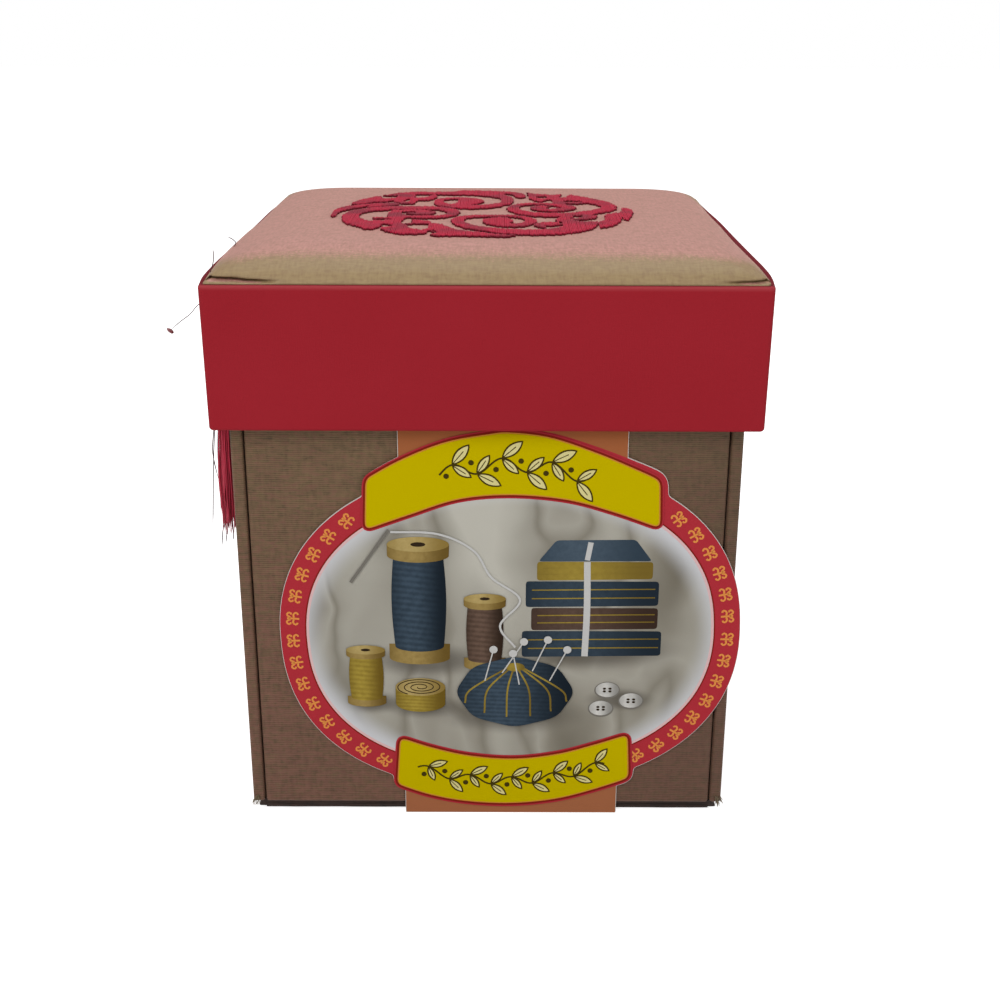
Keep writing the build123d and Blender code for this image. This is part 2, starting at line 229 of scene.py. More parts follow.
def ribbed_silk(name, olive, russet, shade):
    """Ribs as a sine of height, bent and broken by noise; speckle where warp and weft show by turns.

    The weft shows more towards the foot, and painted shade grows from the middle to the right side.
    """
    material = empty_material(name)
    place = add(material, "ShaderNodeTexCoord").outputs["Object"]
    split = add(material, "ShaderNodeSeparateXYZ", {0: place})
    wander = add(material, "ShaderNodeTexNoise", {"Vector": place, "Scale": 60.0, "Detail": 3.0})
    height = add(material, "ShaderNodeMath", {0: wander.outputs["Fac"], 1: rib_wander,
                                              2: split.outputs["Z"]}, operation="MULTIPLY_ADD")
    turns = add(material, "ShaderNodeMath", {0: height.outputs[0], 1: 2 * pi / rib_pitch},
                operation="MULTIPLY")
    rib = add(material, "ShaderNodeMath", {0: turns.outputs[0]}, operation="SINE")
    relief = add(material, "ShaderNodeMath", {0: rib.outputs[0], 1: rib_share},
                 operation="MULTIPLY").outputs[0]
    noise = {}
    for part, (share, waves, detail) in rib_noise.items():
        stretched = add(material, "ShaderNodeMapping", {"Vector": place, "Scale": waves})
        noise[part] = add(material, "ShaderNodeTexNoise", {"Vector": stretched.outputs[0], "Scale": 1.0,
                                                           "Detail": detail}).outputs["Fac"]
        relief = add(material, "ShaderNodeMath", {0: noise[part], 1: share, 2: relief},
                     operation="MULTIPLY_ADD").outputs[0]
    drift = add(material, "ShaderNodeTexNoise", {"Vector": place, "Scale": 14.0, "Detail": 2.0})
    low = add(material, "ShaderNodeMapRange", {"Value": split.outputs["Z"], "From Min": 0.0,
                                               "From Max": 0.1, "To Min": 0.42, "To Max": -0.18})
    blend = add(material, "ShaderNodeMath", {0: low.outputs[0], 1: drift.outputs["Fac"]},
                operation="ADD")
    speckled = add(material, "ShaderNodeMath", {0: noise["knot"], 1: 2.6, 2: -1.3},
                   operation="MULTIPLY_ADD")
    turned_thread = add(material, "ShaderNodeMath", {0: blend.outputs[0], 1: speckled.outputs[0]},
                        operation="ADD", use_clamp=True)
    dark = add(material, "ShaderNodeMapRange", {"Value": relief, "From Min": 1.6, "From Max": 4.0,
                                                "To Min": 0.9, "To Max": 0.0})
    # Painted shade: the silk is darkened from the middle of the box to its right side
    painted_shade_rightward = add(material, "ShaderNodeMapRange", {"Value": split.outputs["X"], "From Min": 0.01,
                                                     "From Max": 0.056, "To Max": 0.42})
    colour = olive
    for factor, tint in ((turned_thread, russet), (dark, shade), (painted_shade_rightward, shade)):
        colour = add(material, "ShaderNodeMix", {0: factor.outputs[0], 6: colour, 7: tint},
                     data_type="RGBA").outputs[2]
    bump = add(material, "ShaderNodeBump", {"Height": relief, "Distance": 0.00006, "Strength": 0.6})
    return finish_as_cloth(material, colour, 0.62, bump.outputs[0], 0.22, "d9b09a")


taupe_silk = ribbed_silk("taupe_ribbed_silk", "776243", "745040", "3d2b1e")
for side in sides:
    wear(f"{side}_wall_cover", taupe_silk)
    wear(f"inner_{side}_cover", taupe_silk)
# The base's edge, under the walls, is covered in the same silk; its dark colours are painted shade, as it
# lies in the walls' shadow
base_silk_in_painted_shade = ribbed_silk("base_ribbed_silk_painted_shade", "33271f", "38261f", "17100d")
wear("base_cover", base_silk_in_painted_shade)
wear("inner_base", taupe_silk)


# Cloth hinges
# Strips of the same silk glued under the foot of each wall and down the edge of
# the panel that it folds from, coloured dark as painted shade. The outer ones bulge a little along the base.
def grid_mesh(name, points, material, closed=False, looped=False, capped=False, smooth=True):
    """Piece from rows by columns of points in mm, a face between each four neighbours.

    closed joins the last column to the first, looped the last row to the first, capped
    fills the end rows. A shape with a negative volume is turned the right way out.
    """
    rows, columns = points.shape[:2]
    index = np.arange(rows * columns).reshape(rows, columns)
    ends = [index[0, ::-1].tolist(), index[-1].tolist()] if capped else []
    if closed:
        index = np.concatenate([index, index[:, :1]], axis=1)
    if looped:
        index = np.concatenate([index, index[:1]], axis=0)
    quads = np.stack([index[:-1, :-1], index[:-1, 1:], index[1:, 1:], index[1:, :-1]], axis=-1)
    places = points.reshape(-1, 3) * MM
    return solid_piece(name, places, quads.reshape(-1, 4).tolist() + ends, material, smooth=smooth)


def solid_piece(name, places, faces, material, uv=None, smooth=True):
    """Object from places in metres and faces; its volume, summed over triangles, is made positive."""
    mesh = bpy.data.meshes.new(name)
    mesh.from_pydata(places.tolist(), [], faces)
    mesh.calc_loop_triangles()
    corners = np.empty(3 * len(mesh.loop_triangles), int)
    mesh.loop_triangles.foreach_get("vertices", corners)
    a, b, c = np.moveaxis(places[corners.reshape(-1, 3)], 1, 0)
    if np.sum(a * np.cross(b, c)) < 0:
        mesh.flip_normals()
    if uv is not None:
        on_loops = np.empty(len(mesh.loops), int)
        mesh.loops.foreach_get("vertex_index", on_loops)
        layer = mesh.uv_layers.new(name="thread")
        layer.data.foreach_set("uv", uv.reshape(-1, 2)[on_loops].ravel())
    mesh.polygons.foreach_set("use_smooth", [smooth] * len(mesh.polygons))
    mesh.materials.append(material)
    mesh.update()
    return in_scene(name, mesh)


def to_side(points, side):
    """Turn points made at the front by quarter turns to the named side."""
    angle = sides.index(side) * pi / 2
    x = points[..., 0] * cos(angle) - points[..., 1] * sin(angle)
    y = points[..., 0] * sin(angle) + points[..., 1] * cos(angle)
    return np.stack([x, y, points[..., 2]], axis=-1)


def corners_mm(node):
    """Lowest and highest corner of a CAD node at rest, in mm."""
    return np.array(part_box(node)) / MM


def hinge_profile(half, edge, bulge, low, top, foot, reach, tuck):
    """Closed outline (out, up): down the panel's edge with a bulge, then out and in under the wall."""
    return np.array([
        (half, low), (edge + 0.5 * bulge, low + 0.03), (edge + bulge, low + 0.2),
        (edge + bulge, low + 0.4), (edge + 0.5 * bulge, low + 0.7), (edge, low + 1.0),
        (edge, top - 0.2), (edge + 0.12, top + 0.02), (reach, top + 0.03), (reach, foot - 0.02),
        (edge, foot - 0.02), (tuck, foot - 0.02), (tuck, top + 0.03), (half, top + 0.02)])


# Painted shade: the hinge strips get the same dark colours as the base's edge in the walls' shadow
hinge_silk_in_painted_shade = ribbed_silk("hinge_ribbed_silk_painted_shade", "33271f", "38261f", "17100d")
hinge_sets = {
    "": dict(half=54.5, edge=54.8, bulge=0.55, low=0.5, wall="{}_wall"),
    "inner_": dict(half=36.5, edge=36.8, bulge=0.08, low=3.7, wall="inner_{}"),
}
hinge_stations = 31
for prefix, sizes in hinge_sets.items():
    for side in sides:
        node = f"{prefix}{side}_hinge" if prefix else f"{side}_wall_hinge"
        corner_low, corner_high = corners_mm(node)
        along_axis, out_axis = (0, 1) if side in ("front", "back") else (1, 0)
        width = corner_high[along_axis] - corner_low[along_axis]
        across = (corner_low[out_axis], corner_high[out_axis])
        reach, tuck = max(map(abs, across)), min(map(abs, across))
        top = corner_high[2] - 0.3
        outline = hinge_profile(sizes["half"], sizes["edge"], sizes["bulge"], sizes["low"], top,
                                corner_high[2], reach, tuck)
        along = np.linspace(-width / 2, width / 2, hinge_stations)
        ripple = 0.3 * (0.12 * np.sin(along * 0.35 + len(side)) + 0.08 * np.sin(along * 0.9))
        bulges = (outline[:, 0] > sizes["edge"] + 0.13) * (outline[:, 1] < top - 0.3)
        out = outline[:, 0] + bulges * ripple[:, None]
        strip = np.stack([np.broadcast_to(along[:, None], out.shape), -out,
                          np.broadcast_to(outline[:, 1], out.shape)], axis=-1)
        strip_piece = grid_mesh(f"{node}_strip", to_side(strip, side), hinge_silk_in_painted_shade, closed=True,
                                capped=True, smooth=False)
        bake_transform(strip_piece)
        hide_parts(node)

# Linings and elastics
# Each outer wall has an inset panel inside, slate cloth at the front and back and
# brown at the sides, with a white woven elastic across it. The base and the lid
# are lined in brown.
slate_lining = plain_cloth("slate_lining_cloth", "2b323b", "353d47", fibre_mm=0.35)
brown_lining = plain_cloth("brown_lining_cloth", "4a3a30", "55443a", fibre_mm=0.35)
white_elastic = plain_cloth("white_woven_elastic", "e6e3da", "f2f0ea", fibre_mm=0.45, depth=0.00012)
for side in sides:
    wear(f"{side}_wall_lining", slate_lining if side in ("front", "back") else brown_lining)
    wear(f"{side}_wall_elastic", white_elastic)
wear("base_lining", brown_lining)
wear("lid_lining", brown_lining)


# Small box in the middle
# Slate cloth over card, with a lift-off lid padded as a pincushion: brown silk
# over wadding, drawn in at the foot.
def square_outline(half, radius, along, around):
    """Square with round corners as points in order: a quarter arc, then a straight, four times."""
    turn = np.linspace(0, pi / 2, around)
    arc = np.stack([np.cos(turn), np.sin(turn)], axis=1) * radius + (half - radius)
    straight = np.linspace(half - radius, radius - half, along + 2)[1:-1]
    quarter = np.vstack([arc, np.stack([straight, np.full(along, half)], axis=1)])
    turns = [quarter, quarter[:, ::-1] * (-1, 1), -quarter, quarter[:, ::-1] * (1, -1)]
    return np.vstack(turns)


def stacked_squares(levels, along, around):
    """Rows of square outlines; each level is (half width, corner radius, height)."""
    rows = []
    for half, radius, z in levels:
        outline = square_outline(half, min(radius, 0.95 * half), along, around)
        rows.append(np.column_stack([outline, np.full(len(outline), z)]))
    return np.array(rows)


wear("small_box", slate_lining)
wear("small_lid_tray", slate_lining)
pad_low, pad_high = corners_mm("pincushion")
pad_half = (pad_high[0] - pad_low[0]) / 2
pad_rise = pad_high[2] - pad_low[2]
pad_levels = [(pad_half - 0.8, 2.0, pad_low[2] + 0.02), (pad_half - 0.3, 2.2, pad_low[2] + 0.6)]
for t in np.linspace(0, 1, 18).tolist():
    # A quarter turn from the side to the crown, fuller than a circle's
    up = 0.18 + 0.82 * sin(t * pi / 2) ** 0.9
    pad_levels.append((0.02 * pad_half + pad_half * cos(t * pi / 2) ** 0.55 * 0.98, 2.6 + 7 * t,
                       pad_low[2] + pad_rise * up))
pad = grid_mesh("pincushion_pad", stacked_squares(pad_levels, along=16, around=5),
                plain_cloth("pincushion_silk", "4b3a2e", "5a4638", fibre_mm=0.35, sheen=0.4),
                closed=True, capped=True)
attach(pad, "small_lid")
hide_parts("pincushion")

# Held things
# A white card wound with five colours of sewing cotton, a white needle packet,
# and a card of pearl buttons.
white_card = plain_cloth("white_card", "e9e6de", "f1eee7", fibre_mm=0.3, sheen=0.0)
for node in ("thread_card", "needle_packet", "button_card"):
    wear(node, white_card)
winding_low, winding_high = corners_mm("thread_windings")
winding_deep, winding_wide, winding_tall = winding_high - winding_low
cottons = {"red": ("a33030", "b8403a"), "gold": ("b08a24", "c49c34"), "green": ("3f6a48", "4c7c54"),
           "blue": ("2f4a8c", "3b5a9e"), "white": ("dedbd2", "ece9e2")}
cotton_band = 5.0
winding_step = (winding_tall - cotton_band) / (len(cottons) - 1)
for number, (cotton, tints) in enumerate(cottons.items()):
    # Twelve turns side by side, each a small ridge, closed round the back by the card
    upward = np.linspace(0, 1, 73)
    ridge = 0.55 + 0.45 * np.abs(np.sin(upward * pi * 12))
    belly = np.sin(upward * pi) ** 0.25
    along = np.linspace(0, 1, 13)
    stand = (np.sin(along * pi) ** 0.3)[:, None] * (belly * ridge)[None, :]
    face_x = winding_high[0] - 0.05 - stand * (winding_deep - 0.15)
    ys = winding_low[1] + winding_wide * along
    zs = winding_low[2] + winding_step * number + cotton_band * upward
    front_face = np.stack([face_x, np.broadcast_to(ys[:, None], stand.shape),
                           np.broadcast_to(zs, stand.shape)], axis=-1)
    back_face = front_face[:, ::-1].copy()
    back_face[..., 0] = winding_high[0] - 0.02
    wound = grid_mesh(f"wound_{cotton}_cotton", np.concatenate([front_face, back_face], axis=1),
                      plain_cloth(f"{cotton}_sewing_cotton", *tints, fibre_mm=0.3), closed=True,
                      capped=True)
    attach(wound, "right_wall")
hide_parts("thread_windings")
# Pearl plastic: a warm white with a clear, shiny skin
pearl = empty_material("pearl_button")
pearl_shader = add(pearl, "ShaderNodeBsdfPrincipled", {
    "Base Color": "f2ede2", "Roughness": 0.25, "Coat Weight": 0.5, "Coat Roughness": 0.15})
wear("buttons", close_material(pearl, pearl_shader))


# Lid cloth
# Deep red book cloth, glued flat over the skirt boards and turned over the rim.
# The tall sides bow out a little between the corners, more at the rim.
def red_book_cloth():
    """Fine crossed threads about 0.35 mm apart over a flat red ground.

    The rim's front edge is paler, from wear and a painted highlight, and the rest of the rim's top is darker
    with painted shade under the cushion.
    """
    material = empty_material("red_book_cloth")
    place = add(material, "ShaderNodeTexCoord").outputs["Object"]
    crossed = []
    for waves in ((500, 500, 2800), (2800, 2800, 500)):
        stretched = add(material, "ShaderNodeMapping", {"Vector": place, "Scale": waves})
        crossed.append(add(material, "ShaderNodeTexNoise", {"Vector": stretched.outputs[0],
                                                            "Scale": 1.0}).outputs["Fac"])
    weave = add(material, "ShaderNodeMath", {0: crossed[0], 1: crossed[1]}, operation="ADD")
    drift = add(material, "ShaderNodeTexNoise", {"Vector": place, "Scale": 35.0, "Detail": 3.0})
    split = add(material, "ShaderNodeSeparateXYZ", {0: place})
    # Paler front edge of the rim: partly wear, partly painted highlight
    rim = add(material, "ShaderNodeMapRange", {"Value": split.outputs["Z"], "From Min": 0.1279,
                                               "From Max": 0.1288, "To Min": 0.0, "To Max": 0.6})
    front = add(material, "ShaderNodeMapRange", {"Value": split.outputs["Y"], "From Min": -0.0596,
                                                 "From Max": -0.0585, "To Min": 1.0, "To Max": 0.0})
    worn_and_highlit_edge = add(material, "ShaderNodeMath", {0: rim.outputs[0], 1: front.outputs[0]},
                 operation="MULTIPLY")
    # Painted shade on the rim's top, under the overhang of the cushion
    top = add(material, "ShaderNodeMapRange", {"Value": split.outputs["Z"], "From Min": 0.1283,
                                               "From Max": 0.1290})
    shaded = add(material, "ShaderNodeMath", {0: top.outputs[0], 1: worn_and_highlit_edge.outputs[0]},
                 operation="SUBTRACT", use_clamp=True)
    colour = "951924"
    for factor, tint in ((drift, "9d1f2b"), (worn_and_highlit_edge, "b04a50"), (shaded, "6f1420")):
        colour = add(material, "ShaderNodeMix", {0: factor.outputs[0], 6: colour, 7: tint},
                     data_type="RGBA").outputs[2]
    bump = add(material, "ShaderNodeBump", {"Height": weave.outputs[0], "Distance": 0.00005,
                                            "Strength": 0.5})
    return finish_as_cloth(material, colour, 0.85, bump.outputs[0], 0.06, "ff9a9a", gloss=0.15)


skirt_low, skirt_high = corners_mm("lid_cover")
lid_half = (skirt_high[0] - skirt_low[0]) / 2
rim_z = skirt_high[2]
skirt_z = skirt_low[2]
board_gap = 2.65
edge_round = 0.7
rim_inner_round = 0.4
hem_inner_round = 0.3


def arc_points(centre, radius, first, last, count=6):
    """Points (out, up) on an arc between two angles in degrees."""
    turn = np.radians(np.linspace(first, last, count))
    return [(centre[0] + radius * cos(a), centre[1] + radius * sin(a)) for a in turn.tolist()]


inside = lid_half - board_gap
skirt_profile = (
    [(lid_half - 0.9, skirt_z)]
    + arc_points((lid_half - edge_round, skirt_z + edge_round), edge_round, -90, 0)
    + [(lid_half, skirt_z + level) for level in (0.95, 8, 16, 24)] + [(lid_half, rim_z - 0.95)]
    + arc_points((lid_half - edge_round, rim_z - edge_round), edge_round, 0, 90)
    + [(lid_half - 0.9, rim_z)]
    + arc_points((inside + rim_inner_round, rim_z - rim_inner_round), rim_inner_round, 90, 180, 4)
    + [(inside, rim_z - 0.6), (inside, rim_z - 2.4), (inside, skirt_z + 0.6)]
    + arc_points((inside + hem_inner_round, skirt_z + hem_inner_round), hem_inner_round, 180, 270, 4))

# How far each tall side stands out of square, in mm, at places along it from front to back
lid_bow = {
    -1: ([-60, -55, -49, -32, -20, -8, 6, 25, 41, 60], [0, 0.9, 1.5, 1.7, 1.5, 1.1, 1.1, 0.9, 0.9, 0]),
    1: ([-60, -54, -47, -39, -22, -1, 25, 46, 60], [0, 1.1, 1.7, 1.9, 1.6, 1.3, 1.1, 0.3, 0]),
}


def bowed(x, y, bow, inner, outer):
    """Move a tall side out by the bow at each y, softened by averaging over 10 mm."""
    spread = np.linspace(-5, 5, 9)
    reach = np.clip((np.abs(x) - inner) / (outer - inner), 0, 1)
    moved = x.copy()
    for side_sign, (places, amounts) in bow.items():
        amount = np.mean([np.interp(y + s, places, amounts) for s in spread], axis=0)
        moved = np.where(x * side_sign > 0, moved + side_sign * amount * reach, moved)
    return moved


skirt_levels = [(half, max(0.25, 1.2 - (lid_half - half)), z) for half, z in skirt_profile]
skirt_rows = stacked_squares(skirt_levels, along=32, around=7)
climb = np.clip((skirt_rows[..., 2] - skirt_z) / (rim_z - skirt_z), 0, 1)
straight_x = skirt_rows[..., 0].copy()
bowed_x = bowed(straight_x, skirt_rows[..., 1], lid_bow, inside, inside + 1.5)
skirt_rows[..., 0] = straight_x + (bowed_x - straight_x) * climb
lid_skin = grid_mesh("lid_red_cloth", skirt_rows, red_book_cloth(), closed=True, looped=True)
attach(lid_skin, "lid")
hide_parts("lid_cover")

# Cushion
# Wadding under shot silk, pink-beige on top and olive-gold where it turns down.
# It is stretched over the lid's top board, bulges over the rim on all sides and
# is tucked in with a fold at each front corner.
cushion_low, cushion_high = corners_mm("cushion_cover")
belly_half = 58.45
edge_half = 59.3
roll_across = 17.5
fold_z = 129.85
fold_half_height = 0.30
left_tuck_depth = 3.4
right_tuck_depth = 2.4
dies_away = 5.0
top_z = cushion_high[2] - 0.15
cushion_bow = {
    -1: ([-62, -58, -53, -37, -24, -6, 12, 50, 60], [-0.3, -0.1, 0.3, 1.1, 1.4, 1.2, 0.4, 0.3, 0]),
    1: ([-62, -54, -42, -28, -7, 14, 32, 60], [-0.1, 0.4, 0.6, 0.3, -0.1, 0, -0.4, 0]),
}


def top_swell(x, y):
    """Slow hills a tenth of a millimetre high over the flat top: sines of x and y, times and added."""
    return 0.10 * np.sin(x * 0.11 + 0.7) * np.sin(y * 0.13 + 0.3) + 0.05 * np.sin(x * 0.05 - y * 0.07)


def cushion_levels():
    """Levels (half width, corner radius, height) from the tucked-in foot over the rim to the middle.

    The foot and the thin edge over the rim are listed one by one. At a share t of the way across, the
    roll has risen by (1 - (1 - t)^2) to the power 0.65.
    """
    levels = [(56.3, 1.6, cushion_low[2]), (56.8, 1.8, 127.4), (56.95, 2.0, 128.4), (57.1, 2.0, 128.95),
              (57.5, 1.8, 129.03), (58.3, 1.2, 129.03), (59.1, 0.9, 129.03)]
    levels += [(edge_half, 0.8, z) for z in (129.08, 129.2, 129.3, 129.4)]
    levels += [(59.2, 0.9, 129.52), (59.05, 1.0, 129.66), (58.88, 1.1, 129.8), (58.72, 1.2, 129.94),
               (58.58, 1.4, 130.08), (58.46, 1.5, 130.2)]
    for t in (np.linspace(0.10, 1, 26) ** 1.7).tolist():
        rise = (1 - (1 - t) ** 2) ** 0.65
        levels.append((belly_half - roll_across * t, 1.6 + 9.3 * t ** 0.8,
                       fold_z + (top_z - fold_z) * rise))
    flat_half = belly_half - roll_across
    levels += [(flat_half * share, 11.0, top_z) for share in np.linspace(0.94, 0.01, 14).tolist()]
    return levels


def silk_folds(points):
    """Bow the tall sides, swell the top, and tuck the silk in at the front corners.

    Each tuck is a groove with a bell-shaped section along a sloping line. Sines wave the front and
    back of the roll and pucker the four corners, both dying away as bell curves.
    """
    x, y, z = (points[..., k].copy() for k in range(3))
    over_rim = np.clip((z - 129.1) / 0.4, 0, 1)
    moved = bowed(x, y, cushion_bow, 40.0, 57.0)
    x = x + (moved - x) * over_rim
    inward = np.clip((belly_half - np.maximum(np.abs(x), np.abs(y))) / roll_across, 0, 1)
    z = z + top_swell(x, y) * inward
    front = y < -50
    left_tuck = left_tuck_depth * (np.clip((x + 60.5) / 1.5, 0, 1)
                                   * np.clip((-44.0 - x) / 8, 0, 1) ** 0.7)
    right_tuck = right_tuck_depth * (np.clip((x - 49) / 7, 0, 1) ** 0.7
                                     * np.clip((60 - x) / 1.5, 0, 1))
    line = fold_z + 0.25 - 0.035 * np.clip(x + 61, 0, 18) + 0.03 * np.clip(x - 50, 0, 10)
    off_line = (points[..., 2] - line) / fold_half_height
    groove = front * (left_tuck + right_tuck) * np.exp(-(off_line ** 2))
    y = y - np.sign(y) * groove * (np.abs(y) > np.abs(x) - 1)
    wave = np.exp(-(((belly_half - np.abs(y)) / dies_away) ** 2)) * over_rim
    z = z + wave * (0.07 * np.sin(x * 0.55) + 0.05 * np.sin(x * 1.3 + 1.0))
    from_corner = np.hypot(belly_half - np.abs(x), belly_half - np.abs(y))
    corner_pull = np.exp(-((from_corner / dies_away) ** 2))
    pucker = 0.22 * corner_pull * np.sin((np.abs(x) - np.abs(y)) * 2.2) * np.clip(inward * 6, 0, 1)
    return np.stack([x, y, z + pucker], axis=-1)


def shot_silk():
    """Pink-beige and olive-gold mixed by how far the surface leans to the front or back.

    Near the front and back a lean to the side counts as well, and the steepest gold is darker, painted shade
    on the roll below the fold.
    """
    material = empty_material("shot_silk")
    where = add(material, "ShaderNodeTexCoord")
    place = where.outputs["Object"]
    lean = add(material, "ShaderNodeSeparateXYZ", {0: where.outputs["Normal"]})
    lean_x, lean_y = (add(material, "ShaderNodeMath", {0: lean.outputs[axis]}, operation="ABSOLUTE")
                      for axis in "XY")
    split = add(material, "ShaderNodeSeparateXYZ", {0: place})
    off_middle = add(material, "ShaderNodeMath", {0: split.outputs["Y"]}, operation="ABSOLUTE")
    at_corner = add(material, "ShaderNodeMapRange", {"Value": off_middle.outputs[0], "From Min": 0.034,
                                                     "From Max": 0.058, "To Max": 0.9})
    lean_y = add(material, "ShaderNodeMath", {0: lean_x.outputs[0], 1: at_corner.outputs[0],
                                              2: lean_y.outputs[0]}, operation="MULTIPLY_ADD")
    speckle = add(material, "ShaderNodeTexNoise", {"Vector": place, "Scale": 1900.0, "Detail": 1.0})
    spread = add(material, "ShaderNodeMath", {0: speckle.outputs["Fac"], 1: 0.26, 2: -0.13},
                 operation="MULTIPLY_ADD")
    leaning = add(material, "ShaderNodeMath", {0: lean_y.outputs[0], 1: spread.outputs[0]},
                  operation="ADD")
    turned, steep_painted_shade = (add(material, "ShaderNodeMapRange", {"Value": leaning.outputs[0], "From Min": least,
                                                          "From Max": most},
                         interpolation_type="SMOOTHSTEP") for least, most in ((0.13, 0.35), (0.84, 0.98)))
    crossed = []
    for waves, detail in (((500, 1700, 900), 3.0), ((1700, 400, 400), 2.0)):
        stretched = add(material, "ShaderNodeMapping", {"Vector": place, "Scale": waves})
        crossed.append(add(material, "ShaderNodeTexNoise", {"Vector": stretched.outputs[0], "Scale": 1.0,
                                                            "Detail": detail}).outputs["Fac"])
    weave = add(material, "ShaderNodeMath", {0: crossed[0], 1: crossed[1]}, operation="ADD")
    dark = add(material, "ShaderNodeMapRange", {"Value": weave.outputs[0], "From Min": 0.70,
                                                "From Max": 1.25, "To Min": 0.50, "To Max": 0.0})
    colour = "ca9289"
    # The steepest part is mixed to a darker gold as painted shade below the fold
    for factor, tint in ((turned, "9c865f"), (steep_painted_shade, "96805c"), (dark, "7d6248")):
        colour = add(material, "ShaderNodeMix", {0: factor.outputs[0], 6: colour, 7: tint},
                     data_type="RGBA").outputs[2]
    bump = add(material, "ShaderNodeBump", {"Height": weave.outputs[0], "Distance": 0.00006,
                                            "Strength": 0.6})
    return finish_as_cloth(material, colour, 0.5, bump.outputs[0], 0.35, "e8b8a8")


cushion_rows = silk_folds(stacked_squares(cushion_levels(), along=62, around=9))
cushion = grid_mesh("cushion_silk", cushion_rows, shot_silk(), closed=True, capped=True)
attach(cushion, "lid")
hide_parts("cushion_cover", "lid_pad")

# Embroidery
# A roundel of satin stitch in crimson floss: a scroll with its cloud and leaf
# shapes, worked four times round the middle as a pinwheel, each by hand and a
# little different. Each shape is filled with stitches laid side by side across it.
stitch_pitch = 0.40
stitch_reach = 40.0
stitch_grain = 0.1
floss_radius = 0.25
floss_rise = 0.34
floss_bed = 0.05
floss_dive = 0.9
# Shares of a drawn width that the floss covers in a shape, and leaves bare in a gap
shape_share = 0.92
gap_share = 1.15
